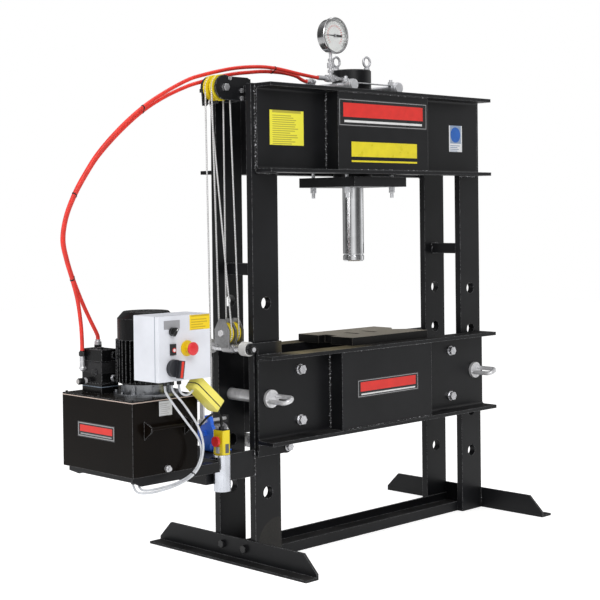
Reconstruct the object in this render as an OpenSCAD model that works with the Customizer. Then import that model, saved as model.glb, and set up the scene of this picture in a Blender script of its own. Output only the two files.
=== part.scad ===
// Workshop press: a welded frame with a pinned bed, a travelling cylinder, a rope hoist and a power pack.
// Origin on the floor at the middle of the frame, X to the right, Y to the rear, Z up, millimetres.

/* [Side frames] */
// Width of each upright bar
upright_w = 148; // [130:1:170]
// Thickness of each upright bar
upright_t = 32; // [26:1:38]
// Middle of the press to the middle of an upright
upright_x = 691; // [660:1:740]
// Depth over the front and rear uprights
frame_d = 256; // [240:1:280]
// Height of the uprights
frame_h = 2016; // [1960:1:2100]
// Diameter of the bed pin holes
hole_d = 54; // [53:0.5:60]
// Distance between bed pin holes
hole_pitch = 200; // [180:1:205]
// Height of the lowest bed pin hole
low_hole_z = 292; // [280:1:310]
// Number of bed pin holes in an upright
hole_count = 5; // [4:1:5]
// Height of the bar that joins a pair of uprights
spacer_h = 50; // [30:1:70]
// Width of the bar that joins a pair of uprights
spacer_w = 40; // [20:1:80]
// Height of the left joining bar above the floor
left_spacer_z = 1233; // [1180:1:1320]
// Height of the right joining bar above the floor
right_spacer_z = 1287; // [1180:1:1320]

/* [Head and bed channels] */
// Height of a channel
channel_h = 374; // [350:1:390]
// Width of a channel over its flanges
channel_flange = 97; // [90:1:110]
// Thickness of a channel web
web_t = 10; // [8:0.5:14]
// Thickness of a channel flange
flange_t = 16; // [12:0.5:20]
// Radius between a web and a flange
root_r = 12; // [6:1:16]
// Length of the head channels
head_l = 1484; // [1480:1:1560]
// Length of the bed channels
bed_l = 1516; // [1480:1:1560]
// Sideways play between the bed channels and the uprights
bed_play = 8; // [3:0.5:12]
// Width of the box stiffeners
box_w = 606; // [500:1:640]
// Middle of the box stiffeners from the middle of the press
box_x = -24; // [-60:1:60]
// Thickness of the box stiffener plates
box_t = 12; // [8:1:16]
// Flange edge to the face of a box stiffener
box_recess = 12; // [6:1:30]
// Distance of the bed tie bolts from the middle
tie_x = 511; // [480:1:540]
// Height of the bed tie bolts from the bed's middle line
tie_rise = 109; // [90:1:130]
// Diameter of a bed tie bolt
tie_d = 24; // [16:1:30]
// Outer diameter of a bed spacer tube
tie_tube_d = 42; // [36:1:60]

/* [Bed pins] */
// Which hole from the floor the pins are in
pin_row = 3; // [3:1:3]
// Diameter of a bed pin
pin_d = 50; // [44:0.5:51]
// Diameter of the pin holes in the bed
bed_hole_d = 52; // [51.5:0.5:56]
// Diameter of the collar on a pin
collar_d = 76; // [64:1:90]
// Thickness of the collar on a pin
collar_t = 14; // [8:1:20]
// Length of the pin that stands out at the rear
pin_tail = 14; // [4:1:30]
// Diameter of the bent handle rod
grip_d = 20; // [14:1:24]
// Radius of the handle's bend
grip_r = 24; // [20:1:27]
// Length of the handle's straight legs
grip_l = 82; // [50:1:110]
// Turn of each pin's handle from level, in degrees
pin_turn = 22; // [0:1:24]

/* [Bed guide rollers and bolsters] */
// Diameter of a guide roller
guide_d = 60; // [50:1:64]
// Diameter of a guide roller bolt
guide_bolt_d = 20; // [14:1:24]
// Diameter of the tube between guide rollers
guide_tube_d = 34; // [30:1:38]
// Height of the upper rollers above the bed
guide_rise = 29; // [27:1:36]
// Drop of the lower rollers below the bed
guide_drop = 28; // [26:1:40]
// Length of a guide lug along the bed
lug_l = 175; // [140:1:220]
// Thickness of the bolster plates
bolster_t = 36; // [25:1:60]
// Depth of the bolster plates
bolster_d = 340; // [290:1:380]
// Width of the left bolster plate
left_bolster_w = 226; // [180:1:240]
// Width of the right bolster plate
right_bolster_w = 292; // [240:1:300]
// Left edge of the left bolster plate
bolster_x = -206; // [-240:1:-180]

/* [Feet] */
// Height of a foot's upright leg
foot_h = 96; // [70:1:120]
// Width of a foot's flat leg
foot_w = 71; // [60:1:100]
// Thickness of a foot angle
foot_t = 10; // [8:1:14]
// Length of a foot
foot_l = 988; // [900:1:1100]
// Length of the sloping cut at each end of a foot
foot_slope = 74; // [40:1:110]
// Height of a foot's end below its slope
foot_end = 24; // [16:1:40]
// Height of the base tie's flanges
tie_h = 45; // [35:1:60]
// Wall of the base tie
tie_wall = 8; // [6:1:12]

/* [Carriage and cylinder] */
// Middle of the carriage at rest
carriage_x = -10; // [-40:1:40]
// Side of the carriage plate
plate_w = 350; // [320:1:380]
// Thickness of the carriage plate
plate_t = 44; // [30:1:60]
// Gap between the head and the carriage plate
plate_gap = 12; // [6:0.5:20]
// Half distance between the hanger studs along the head
stud_x = 152; // [140:1:155]
// Half distance between the hanger studs across the head
stud_y = 106; // [103:0.5:108]
// Diameter of a hanger stud
stud_d = 16; // [12:1:18]
// Diameter of a carriage axle
axle_d = 25; // [20:1:26]
// Diameter of a carriage roller
roller_d = 52; // [44:1:58]
// Width of a carriage roller
roller_w = 22; // [16:1:26]
// Diameter of the cylinder
cylinder_d = 180; // [165:1:184]
// Height of the cylinder above the head
cylinder_rise = 108; // [90:1:140]
// Diameter of the cylinder's bore
bore_d = 130; // [120:1:138]
// Diameter of the ram
ram_d = 97; // [85:0.5:105]
// Length of ram below the carriage plate
ram_out = 340; // [310:1:360]
// Height of the piston
piston_h = 60; // [40:1:80]
// Diameter of the gauge
gauge_d = 164; // [140:1:180]
// Depth of the gauge case
gauge_t = 52; // [40:1:60]
// Gauge centre to the cylinder's axis along the head
gauge_x = -164; // [-180:1:-150]
// Face of the gauge from the cylinder's axis
gauge_y = -62; // [-70:1:-56]
// Height of the gauge centre above the head
gauge_z = 252; // [235:1:280]
// Outer diameter of an eye bolt ring
eye_d = 56; // [48:1:64]

/* [Hoist] */
// Distance of the upper sheaves from the uprights' outer edge
hoist_x = 72; // [66:1:84]
// Height of the upper sheaves below the top of the frame
hoist_drop = 17; // [10:1:30]
// Pitch diameter of the upper sheaves
upper_pitch_d = 100; // [90:1:106]
// Pitch diameter of the lower sheaves
lower_pitch_d = 80; // [72:1:82]
// Width of a sheave
sheave_w = 18; // [15:1:20]
// Distance between the two sheaves of a pair
sheave_gap = 40; // [38:1:46]
// Diameter of the wire rope
rope_d = 7; // [5:0.5:8]
// Thickness of the lower block's side plates
block_t = 6; // [4:0.5:8]
// Thickness of the upper bracket's side plates
bracket_t = 8; // [6:0.5:12]
// Middle of the lower block from the frame's middle plane
block_y = -15; // [-20:1:10]

/* [Power pack bracket] */
// Reach of the side bracket from the uprights
bracket_reach = 272; // [250:1:300]
// Height of the side bracket
bracket_h = 110; // [90:1:130]
// Underside of the side bracket above the floor
bracket_z = 372; // [340:1:376]
// Thickness of the side bracket plates
bracket_wall = 10; // [6:1:14]
// Height and width of the shelf angles
shelf_h = 40; // [30:1:50]
// Thickness of the shelf angles
shelf_t = 5; // [4:0.5:8]

/* [Power pack] */
// Length of the oil tank along the press
tank_l = 322; // [300:1:350]
// Width of the oil tank across the press
tank_w = 450; // [430:1:500]
// Height of the oil tank
tank_h = 283; // [260:1:300]
// Wall of the oil tank
tank_wall = 4; // [3:0.5:6]
// Gap between the bracket and the oil tank
tank_gap = 123; // [110:1:140]
// Thickness of the lid gasket
gasket_t = 3; // [2:0.5:5]
// Thickness of the tank lid
lid_t = 6; // [5:0.5:10]
// Motor axis from the tank's middle along the press
motor_x = 21; // [10:1:30]
// Motor axis from the tank's middle across the press
motor_y = -85; // [-90:1:-75]
// Diameter of the motor over its fins
motor_d = 210; // [190:1:220]
// Diameter over the motor fins
fin_d = 240; // [230:1:242]
// Height of the finned motor body
motor_h = 173; // [150:1:190]
// Diameter of the motor's fan cowl
cowl_d = 226; // [222:1:236]
// Height of the motor's fan cowl
cowl_h = 108; // [90:1:120]
// Diameter of the pump flange under the motor
bell_d = 262; // [240:1:266]
// Height of the pump flange and its neck
bell_h = 46; // [36:1:60]
// Side of the valve block
valve_w = 84; // [70:1:90]
// Depth of the valve
valve_d = 126; // [110:1:132]
// Height of the valve block
valve_h = 174; // [160:1:190]
// Valve block from the tank's middle along the press
valve_x = -63; // [-70:1:-58]
// Valve block from the tank's middle across the press
valve_y = 105; // [100:1:112]

/* [Control box] */
// Width of the control box
control_w = 255; // [240:1:280]
// Height of the control box
control_h = 246; // [230:1:270]
// Depth of the control box behind its door
control_d = 127; // [110:1:140]
// Thickness of the control box door
door_t = 20; // [14:1:26]
// Wall of the control box
control_wall = 2; // [1.5:0.5:4]
// Control box middle from the motor's axis
control_x = -34; // [-50:1:-20]
// Underside of the control box above the tank lid
control_rise = 79; // [70:1:90]
// Diameter of the stop button
stop_d = 50; // [40:1:54]
// Travel of the stop button
stop_travel = 5; // [3:0.5:8]
// Diameter of the isolator
isolator_d = 66; // [50:1:80]

/* [Hand controls and winch] */
// Outer diameter of the pendant tube
pocket_d = 70; // [64:1:76]
// Length of the pendant tube
pocket_l = 148; // [130:1:180]
// Side of the hand control
pendant_w = 62; // [56:1:63]
// Thickness of the hand control
pendant_d = 40; // [36:1:46]
// Height of the hand control above its tube
pendant_h = 114; // [100:1:130]
// Length of the second control
second_l = 165; // [150:1:180]
// Thickness of the second control
second_t = 50; // [44:1:56]
// Depth of the second control
second_w = 66; // [50:1:80]
// Slope of the second control
second_slope = 42; // [36:1:46]
// Radius of the rope wound on the winch drum
drum_r = 31; // [26:1:34]
// Height of the drum's axis above the bracket
drum_z = 78; // [70:1:86]
// Height of the crank shaft above the drum's axis
pinion_rise = 53; // [50:1:58]
// Length of the crank arm
crank_l = 90; // [70:1:95]
// Length of the crank grip
crank_grip = 92; // [70:1:100]

/* [Hoses and cables] */
// Outer diameter of a pressure hose
hose_d = 16; // [12:0.5:18]
// Outer diameter of a control cable
cable_d = 9; // [7:0.5:10]

/* [Hidden] */
$fn = 64;

// Running clearance of pieces that turn, slide or rest beside each other
seat = 0.3;
// Small overlap that joins shapes of one piece
bite = 0.5;

black = [0.10, 0.10, 0.11];
steel = [0.78, 0.79, 0.80];
zinc = [0.72, 0.73, 0.75];
yellow = [0.95, 0.83, 0.10];
blue = [0.16, 0.33, 0.78];
red = [0.85, 0.12, 0.10];
light_grey = [0.86, 0.87, 0.89];
white = [0.93, 0.93, 0.92];

outer_y = frame_d / 2;
inner_y = outer_y - upright_t;
outer_x = upright_x + upright_w / 2;
inner_x = upright_x - upright_w / 2;
pin_hole_z = low_hole_z + (pin_row - 1) * hole_pitch;
pin_z = pin_hole_z - (hole_d - pin_d) / 2 + seat;
bed_mid_z = pin_z + pin_d / 2 + seat - bed_hole_d / 2;
bed_z = bed_mid_z - channel_h / 2;
bed_top = bed_mid_z + channel_h / 2;
head_z = frame_h - channel_h;
bed_back_y = outer_y + bed_play;
bed_face_y = bed_back_y + web_t;

guide_up_x = -outer_x - guide_d / 2 - seat;
guide_up_z = bed_top + guide_rise;
guide_low_x = -inner_x + guide_d / 2 + seat;
guide_low_z = bed_z - guide_drop;
guide_lug_r = 24;

axle_z = frame_h + roller_d / 2 + seat;
plate_z = head_z - plate_gap - plate_t;
cylinder_z = plate_z + plate_t;
cylinder_top = frame_h + cylinder_rise;
gland_h = 26;
cap_h = 30;
port_z = frame_h + 60;
low_port_z = head_z + 50;
stem_y = gauge_y + 38;
gauge_step = 6;
port_y = 60;

sheave_axis_x = -outer_x - hoist_x;
sheave_axis_z = frame_h - hoist_drop;
upper_r = upper_pitch_d / 2;
lower_r = lower_pitch_d / 2;
block_x = guide_up_x - 5;
block_z = guide_up_z + guide_tube_d / 2 + 6 + lower_r;
groove_r = rope_d / 2 + 1.5;
becket_x = -34;
becket_z = -62;
becket_d = 12;

bracket_x = -outer_x - bracket_reach;
bracket_top = bracket_z + bracket_h;
tank_x1 = bracket_x - tank_gap;
tank_x0 = tank_x1 - tank_l;
tank_z = bracket_top - 8;
lid_z = tank_z + tank_h + gasket_t;
lid_top = lid_z + lid_t;
tank_mid_x = (tank_x0 + tank_x1) / 2;
motor_ax = tank_mid_x + motor_x;
motor_z = lid_top + bell_h;
valve_ax = tank_mid_x + valve_x;

pad_t = 25;
control_back = motor_y - motor_d / 2 - pad_t + 2;
control_front = control_back - control_d;
door_front = control_front - door_t;
control_mid_x = motor_ax + control_x;
control_x0 = control_mid_x - control_w / 2;
control_x1 = control_mid_x + control_w / 2;
control_z = lid_top + control_rise;
control_top = control_z + control_h;
stop_x = control_mid_x + 10;
stop_z = control_z + 120;
lamp_x = control_mid_x - 60;
isolator_x = control_mid_x - 58;
isolator_z = control_z + 50;
selector_x = control_mid_x - 62;
selector_z = control_z + 187;
gland_y = control_front + 53;
gland_xs = [-39, -5, 30];
gland_d = 22;
gland_l = 24;

pocket_x = bracket_x + 56;
pocket_y = -outer_y - pocket_d / 2 - seat;
pocket_z = bracket_top + 13 - pocket_l;
pocket_top = pocket_z + pocket_l;
pendant_z = pocket_top + seat;
pendant_stop_z = 55;
pendant_button_z = 20;
second_x = control_x1 + 30;
second_y = gland_y - 3;
second_z = control_z - seat - second_l / 2 * sin(second_slope) - second_t / 2 * cos(second_slope);

winch_x0 = sheave_axis_x - 88;
winch_x1 = winch_x0 + 94;
drum_y = sheave_gap / 2 - drum_r - rope_d / 2 - seat;
drum_axis_z = bracket_top + drum_z;
pinion_y = drum_y - 11;
pinion_z = drum_axis_z + pinion_rise;
gear_gap = norm([pinion_y - drum_y, pinion_rise]);
pinion_r = 14;
gear_r = gear_gap - pinion_r - seat;
cover_d = 18;
hub_d = 40;
crank_angle = 0;

// Routes of the hoses and cables, from end to end
supply_route = [[-258, -24, 2076], [-272, -24, 2076], [-316, -22, 2080], [-375, -16, 2087], [-440, -10, 2096],
    [-505, -4, 2103], [-570, 2, 2105], [-640, 10, 2101], [-715, 20, 2092], [-790, 30, 2077], [-870, 40, 2057],
    [-950, 50, 2032], [-1060, 65, 1977], [-1170, 80, 1909], [-1275, 95, 1823], [-1370, 110, 1725], [-1430, 120, 1642],
    [-1480, 130, 1556], [-1515, 140, 1465], [-1528, 146, 1375], [-1508, 150, 1295], [-1481, 150, 1216],
    [-1457, 150, 1135], [-1443, 150, 1045], [-1438, 150, 975], [-1438, 150, 932]];
return_route = [[-245, 60, 2066], [-257, 60, 2066], [-284, 57, 2073], [-318, 50, 2083], [-395, 36, 2090], [-485, 20, 2090],
    [-555, 26, 2088], [-620, 34, 2081], [-690, 42, 2072], [-765, 52, 2057], [-865, 64, 2029], [-945, 72, 2004],
    [-1055, 86, 1955], [-1160, 100, 1892], [-1265, 114, 1806], [-1357, 129, 1712], [-1415, 139, 1632],
    [-1464, 149, 1548], [-1498, 159, 1462], [-1510, 164, 1375], [-1491, 168, 1295], [-1463, 168, 1216],
    [-1426, 165, 1128], [-1390, 160, 1052], [-1371, 154.5, 1012], [-1362, 151, 990], [-1360, 150, 979], [-1360, 150, 972]];
motor_route = [[-1373, -287, 820.7], [-1373, -287, 811], [-1367, -287, 792], [-1335, -285, 751], [-1294, -282, 705],
    [-1262, -280, 669], [-1233, -278, 637], [-1206, -276, 606], [-1190, -274, 576], [-1184, -273, 547], [-1188, -272, 519],
    [-1203, -271, 490], [-1229, -270, 466], [-1270, -268, 448], [-1322, -264, 436], [-1370, -255, 429], [-1398, -240, 424],
    [-1414, -223, 421], [-1421, -207, 420], [-1423.3, -195, 424], [-1424, -187.5, 431.5], [-1424, -183, 439.5], [-1424, -183, 445]];
valve_route = [[-1339, -287, 820.7], [-1339, -287, 812], [-1332, -289, 793], [-1291, -291, 749], [-1253, -291, 703],
    [-1219, -290, 658], [-1199, -289, 620], [-1187, -287, 582], [-1185, -285, 551], [-1192, -284, 517], [-1206, -283, 489],
    [-1231, -282, 465], [-1270, -280, 446], [-1324, -277, 431], [-1377, -268, 422], [-1416, -250, 416], [-1438, -229, 414],
    [-1446.5, -210, 415], [-1448.5, -196, 421], [-1449, -187.5, 430.5], [-1449, -183, 439], [-1449, -183, 445]];
second_route = [[-1304, -287, 820.7], [-1304, -287, 811.2], [-1301.2, -287.4, 797.5], [-1293.3, -288, 785.9],
    [-1281.4, -288.6, 778.4], [-1267.6, -289.2, 776.1], [-1254, -289.7, 779.3], [-1242.7, -290, 787.7], [-1238.4, -290, 792.55]];
pendant_route = [[-981, -163.3, 608], [-981, -163.3, 622], [-984, -165, 640], [-994, -168, 655], [-1012, -170, 664],
    [-1034, -171, 665], [-1056, -168, 656], [-1074, -158, 638], [-1086, -142, 614], [-1096, -125, 592], [-1108, -111, 574],
    [-1122, -102.5, 564], [-1135, -100, 560], [-1146, -100, 560]];

// Box from its lowest to its highest corner
module block(low, high) {
    translate(low) cube(high - low);
}

// Hexagon along Z with a given width over its flats
module hexagon(flats, height) {
    cylinder(d = flats / cos(30), h = height, $fn = 6);
}

// Round bar along Y from y0 to y1
module bar_y(diameter, y0, y1) {
    translate([0, y1, 0]) rotate([90, 0, 0]) cylinder(d = diameter, h = y1 - y0);
}

// Round bar along X from x0 to x1
module bar_x(diameter, x0, x1) {
    translate([x0, 0, 0]) rotate([0, 90, 0]) cylinder(d = diameter, h = x1 - x0);
}

// Hexagon along Y from y0 to y1
module nut_y(flats, y0, y1) {
    translate([0, y1, 0]) rotate([90, 0, 0]) hexagon(flats, y1 - y0);
}

// Hexagon along X from x0 to x1
module nut_x(flats, x0, x1) {
    translate([x0, 0, 0]) rotate([0, 90, 0]) hexagon(flats, x1 - x0);
}

// Round bar between two points
module strand(from, to, diameter) {
    run = to - from;
    tilt = acos(run[2] / norm(run));
    turn = atan2(run[1], run[0]);
    translate(from) rotate([0, tilt, turn]) cylinder(d = diameter, h = norm(run));
}

// Points of one ring of a hose round a route point
function direction(route, i) = let (
        before = route[max(i - 1, 0)],
        after = route[min(i + 1, len(route) - 1)])
    (after - before) / norm(after - before);
function side_of(along) = let (across = cross(along, [0.3, 1, 0.1])) across / norm(across);
function ring(route, i, radius, sides) = let (
        along = direction(route, i),
        across = side_of(along),
        third = cross(along, across))
    [for (k = [0 : sides - 1]) route[i] + radius * (cos(360 * k / sides) * across + sin(360 * k / sides) * third)];

// Hose or cable swept along its route
module swept(route, diameter, sides = 8) {
    rings = len(route);
    points = [for (i = [0 : rings - 1]) each ring(route, i, diameter / 2, sides)];
    walls = [for (i = [0 : rings - 2]) for (k = [0 : sides - 1]) let (n = (k + 1) % sides)
        each [[i * sides + k, i * sides + n, (i + 1) * sides + n], [i * sides + k, (i + 1) * sides + n, (i + 1) * sides + k]]];
    first = [[for (k = [0 : sides - 1]) sides - 1 - k]];
    last = [[for (k = [0 : sides - 1]) (rings - 1) * sides + k]];
    polyhedron(points, concat(walls, first, last));
}

// Two uprights with their pin holes and the bar that joins them
module side_frame(side, spacer_z) {
    difference() {
        union() {
            for (front = [-1, 1])
                translate([side * upright_x - upright_w / 2, front < 0 ? -outer_y : inner_y, 0])
                    cube([upright_w, upright_t, frame_h]);
            block([side * upright_x - spacer_w / 2, -inner_y, spacer_z - spacer_h / 2],
                [side * upright_x + spacer_w / 2, inner_y, spacer_z + spacer_h / 2]);
        }
        for (i = [0 : hole_count - 1])
            translate([side * upright_x, 0, low_hole_z + i * hole_pitch])
                bar_y(hole_d, -outer_y - 1, outer_y + 1);
    }
}

module left_side_frame() {
    color(black) side_frame(-1, left_spacer_z);
}

module right_side_frame() {
    color(black) side_frame(1, right_spacer_z);
}

// Outline of a rolled channel with its web on the left
module channel_outline() {
    square([web_t, channel_h]);
    for (top = [0, 1])
        translate([0, top * channel_h]) mirror([0, top, 0]) {
            square([channel_flange, flange_t]);
            translate([web_t, flange_t]) difference() {
                square(root_r);
                translate([root_r, root_r]) circle(root_r);
            }
        }
}

// Front channel with a box stiffener at the middle, web back at Y 0 and flanges towards the front
module stiffened_channel(length) {
    face = channel_flange - box_recess;
    mirror([0, 1, 0]) {
        translate([-length / 2, 0, 0]) rotate([90, 0, 90]) linear_extrude(length) channel_outline();
        difference() {
            block([box_x - box_w / 2, web_t - bite, flange_t - bite],
                [box_x + box_w / 2, face, channel_h - flange_t + bite]);
            block([box_x - box_w / 2 + box_t, 0, flange_t],
                [box_x + box_w / 2 - box_t, face - box_t, channel_h - flange_t]);
        }
    }
}

module head_channels() {
    color(black) for (turn = [0, 1])
        mirror([0, turn, 0]) translate([0, -outer_y, head_z]) stiffened_channel(head_l);
}

// Flat lug with one round end on a guide roller's axis, from the bed's edge line
module guide_lug(axis_x, axis_z, far_x, edge_z) {
    low = min(axis_z, edge_z);
    high = max(axis_z, edge_z);
    lug_far = axis_z > edge_z ? axis_z + guide_lug_r : axis_z - guide_lug_r;
    left = min(axis_x, far_x);
    right = max(axis_x, far_x);
    translate([axis_x, 0, axis_z]) bar_y(2 * guide_lug_r, -bed_face_y, -bed_back_y);
    block([left, -bed_face_y, min(lug_far, axis_z)], [right, -bed_back_y, max(lug_far, axis_z)]);
    bed_left = max(left, -bed_l / 2);
    block([bed_left, -bed_face_y, low - bite], [right, -bed_back_y, high + bite]);
}

module bed_channels() {
    color(black) for (turn = [0, 1])
        mirror([0, turn, 0]) difference() {
            union() {
                translate([0, -bed_back_y, bed_z]) stiffened_channel(bed_l);
                guide_lug(guide_up_x, guide_up_z, guide_up_x + lug_l, bed_top);
                guide_lug(guide_low_x, guide_low_z, guide_low_x - lug_l, bed_z);
            }
            for (side = [-1, 1])
                translate([side * upright_x, 0, bed_mid_z]) bar_y(bed_hole_d, -bed_face_y - 1, 0);
            for (side = [-1, 1], rise = [-1, 1])
                translate([side * tie_x, 0, bed_mid_z + rise * tie_rise])
                    bar_y(tie_d + 2 * seat, -bed_face_y - 1, 0);
            for (axis = [[guide_up_x, guide_up_z], [guide_low_x, guide_low_z]])
                translate([axis[0], 0, axis[1]]) bar_y(guide_bolt_d + 2 * seat, -bed_face_y - 1, 0);
        }
}

// Long bolt along Y with a washer and a hexagon at each end
module through_bolt(diameter) {
    bar_y(diameter, -bed_face_y - 1, bed_face_y + 1);
    for (turn = [0, 1]) mirror([0, turn, 0]) {
        bar_y(diameter * 1.9, -bed_face_y - 3, -bed_face_y);
        nut_y(diameter * 1.5, -bed_face_y - 3 - diameter * 0.7, -bed_face_y - 3);
    }
}

module bed_ties() {
    color(zinc) {
        for (side = [-1, 1], rise = [-1, 1])
            translate([side * tie_x, 0, bed_mid_z + rise * tie_rise]) {
                through_bolt(tie_d);
                difference() {
                    bar_y(tie_tube_d, -bed_back_y, bed_back_y);
                    bar_y(tie_d + 4, -bed_back_y - 1, bed_back_y + 1);
                }
            }
        for (axis = [[guide_up_x, guide_up_z], [guide_low_x, guide_low_z]])
            translate([axis[0], 0, axis[1]]) {
                through_bolt(guide_bolt_d);
                bar_y(guide_tube_d, -inner_y, inner_y);
            }
    }
}

// Pair of plain rollers on one bolt, one on each upright's edge
module guide_pair() {
    for (turn = [0, 1]) mirror([0, turn, 0]) difference() {
        bar_y(guide_d, -bed_back_y + seat, -inner_y - seat);
        bar_y(guide_bolt_d + 2 * 0.08, -bed_back_y, -inner_y);
    }
}

module upper_guide_rollers() {
    color(white) translate([guide_up_x, 0, guide_up_z]) guide_pair();
}

module lower_guide_rollers() {
    color(white) translate([guide_low_x, 0, guide_low_z]) guide_pair();
}

module bolster_plates() {
    hand_slot_w = 22;
    hand_slot_l = 90;
    notch_w = 80;
    notch_l = 42;
    split_x = bolster_x + left_bolster_w;
    color(black) {
        difference() {
            block([bolster_x, -bolster_d / 2, bed_top], [split_x - seat, bolster_d / 2, bed_top + bolster_t]);
            block([split_x - 60, -hand_slot_l / 2, bed_top - 1],
                [split_x - 60 + hand_slot_w, hand_slot_l / 2, bed_top + bolster_t + 1]);
            block([bolster_x - 1, -notch_w / 2, bed_top - 1],
                [bolster_x + notch_l, notch_w / 2, bed_top + bolster_t + 1]);
        }
        difference() {
            block([split_x, -bolster_d / 2, bed_top],
                [split_x + right_bolster_w, bolster_d / 2, bed_top + bolster_t]);
            translate([split_x + right_bolster_w, 0, bed_top - 1]) rotate([0, 0, 45])
                translate([-notch_w / 2, -notch_w / 2, 0]) cube([notch_w, notch_w, bolster_t + 2]);
            block([split_x + 60, -hand_slot_l / 2, bed_top - 1],
                [split_x + 60 + hand_slot_w, hand_slot_l / 2, bed_top + bolster_t + 1]);
        }
    }
}

// Angle foot on the outer side of a pair of uprights
module foot() {
    half = foot_l / 2;
    translate([outer_x, 0, 0]) rotate([90, 0, 90]) linear_extrude(foot_t)
        polygon([[-half, 0], [half, 0], [half, foot_end], [half - foot_slope, foot_h],
            [foot_slope - half, foot_h], [-half, foot_end]]);
    block([outer_x, -half, 0], [outer_x + foot_w, half, foot_t]);
}

module feet() {
    color(black) for (turn = [0, 1]) mirror([turn, 0, 0]) foot();
}

module base_tie() {
    color(black) difference() {
        block([-outer_x, -inner_y, 0], [outer_x, inner_y, tie_h]);
        block([-outer_x - 1, -inner_y + tie_wall, tie_wall], [outer_x + 1, inner_y - tie_wall, tie_h + 1]);
    }
}

// Bolts of the feet, the hoist bracket, the winch and the tank lid, and the tank's drain plug
module fasteners() {
    foot_bolt_d = 30;
    lid_screw_d = 10;
    lid_edge = 12;
    lid_reach = tank_l - 2 * lid_edge;
    lid_spots = concat([for (i = [0 : 3], edge = [-1, 1])
            [tank_x0 + lid_edge + i * lid_reach / 3, edge * (tank_w / 2 - lid_edge)]],
        [for (i = [-1 : 1], edge = [0, 1])
            [tank_x0 + lid_edge + edge * lid_reach, i * (tank_w / 2 - 3 * lid_edge) * 0.6]]);
    color(zinc) {
        for (turn = [0, 1], spot = [-70, 70])
            mirror([turn, 0, 0]) translate([0, spot, foot_h * 0.6])
                nut_x(foot_bolt_d, outer_x + foot_t, outer_x + foot_t + 14);
        for (spot = [-42, -10])
            translate([-outer_x + 20, 0, sheave_axis_z + spot])
                nut_y(18, -sheave_gap - bracket_t - 8, -sheave_gap - bracket_t);
        for (spot = lid_spots)
            if (norm(spot - [motor_ax, motor_y]) > bell_d / 2 + lid_screw_d)
                translate([spot[0], spot[1], lid_top]) cylinder(d = lid_screw_d, h = 6);
        translate([tank_mid_x + 3, 0, tank_z + 18]) {
            nut_y(24, -tank_w / 2 - 12, -tank_w / 2);
            bar_y(16, -tank_w / 2 - 22, -tank_w / 2 - 12);
        }
        for (spot = [-40, 24])
            translate([winch_x0 + 20, drum_y + spot, bracket_top + 6]) hexagon(13, 7);
    }
}

// Bed pin with its collar and bent handle, on the pin's axis
module bed_pin() {
    collar_y = -bed_face_y - collar_t;
    bar_y(pin_d, -bed_face_y - 1, bed_face_y + pin_tail);
    bar_y(collar_d, collar_y, -bed_face_y);
    for (leg = [-1, 1])
        translate([leg * grip_r, 0, 0]) bar_y(grip_d, collar_y - grip_l, collar_y + bite);
    translate([0, collar_y - grip_l, 0]) rotate([0, 0, 180])
        rotate_extrude(angle = 180) translate([grip_r, 0]) circle(d = grip_d);
}

module left_pin() {
    color(steel) translate([-upright_x, 0, pin_z]) rotate([0, -pin_turn, 0]) bed_pin();
}

module right_pin() {
    color(steel) translate([upright_x, 0, pin_z]) rotate([0, -pin_turn, 0]) bed_pin();
}

module carriage_plate() {
    color(black) difference() {
        translate([carriage_x - plate_w / 2, -plate_w / 2, plate_z]) cube([plate_w, plate_w, plate_t]);
        translate([carriage_x, 0, plate_z - 1]) cylinder(d = ram_d + 2, h = plate_t + 2);
        for (x = [-1, 1], y = [-1, 1])
            translate([carriage_x + x * stud_x, y * stud_y, plate_z - 1])
                cylinder(d = stud_d + 2 * seat, h = plate_t + 2);
    }
}

// Axles, studs, nuts and the front strap that hang the plate from the head
module carriage_hanger() {
    stud_flats = stud_d * 1.5;
    strap_z = axle_z + axle_d / 2 - bite;
    color(zinc) translate([carriage_x, 0, 0]) {
        for (x = [-1, 1]) translate([x * stud_x, 0, 0]) {
            translate([0, 0, axle_z]) {
                bar_y(axle_d, -stud_y - 50, stud_y + 50);
                for (turn = [0, 1]) mirror([0, turn, 0])
                    bar_y(roller_d - 4, -stud_y - 54, -stud_y - 46);
            }
            for (y = [-1, 1]) translate([0, y * stud_y, 0]) {
                translate([0, 0, plate_z - 50]) cylinder(d = stud_d, h = axle_z - plate_z + 90);
                translate([0, 0, plate_z - 14]) hexagon(stud_flats, 14);
                translate([0, 0, plate_z - 26]) hexagon(stud_flats, 11);
                translate([0, 0, strap_z + 4]) hexagon(stud_flats, 14);
            }
        }
        block([-stud_x - 14, -stud_y - 10, strap_z], [stud_x + 14, -stud_y + 10, strap_z + 4]);
        for (x = [-1, 1]) block([x * stud_x - 10, stud_y - 10, strap_z], [x * stud_x + 10, stud_y + 10, strap_z + 4]);
    }
}

// Pair of rollers on one carriage axle
module roller_pair(side) {
    translate([carriage_x + side * stud_x, 0, axle_z])
        for (turn = [0, 1]) mirror([0, turn, 0]) difference() {
            bar_y(roller_d, -stud_y - 46 + seat, -stud_y - 46 + seat + roller_w);
            bar_y(axle_d + 2 * 0.08, -stud_y - 60, -stud_y - 10);
        }
}

module left_rollers() {
    color(steel) roller_pair(-1);
}

module right_rollers() {
    color(steel) roller_pair(1);
}

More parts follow.
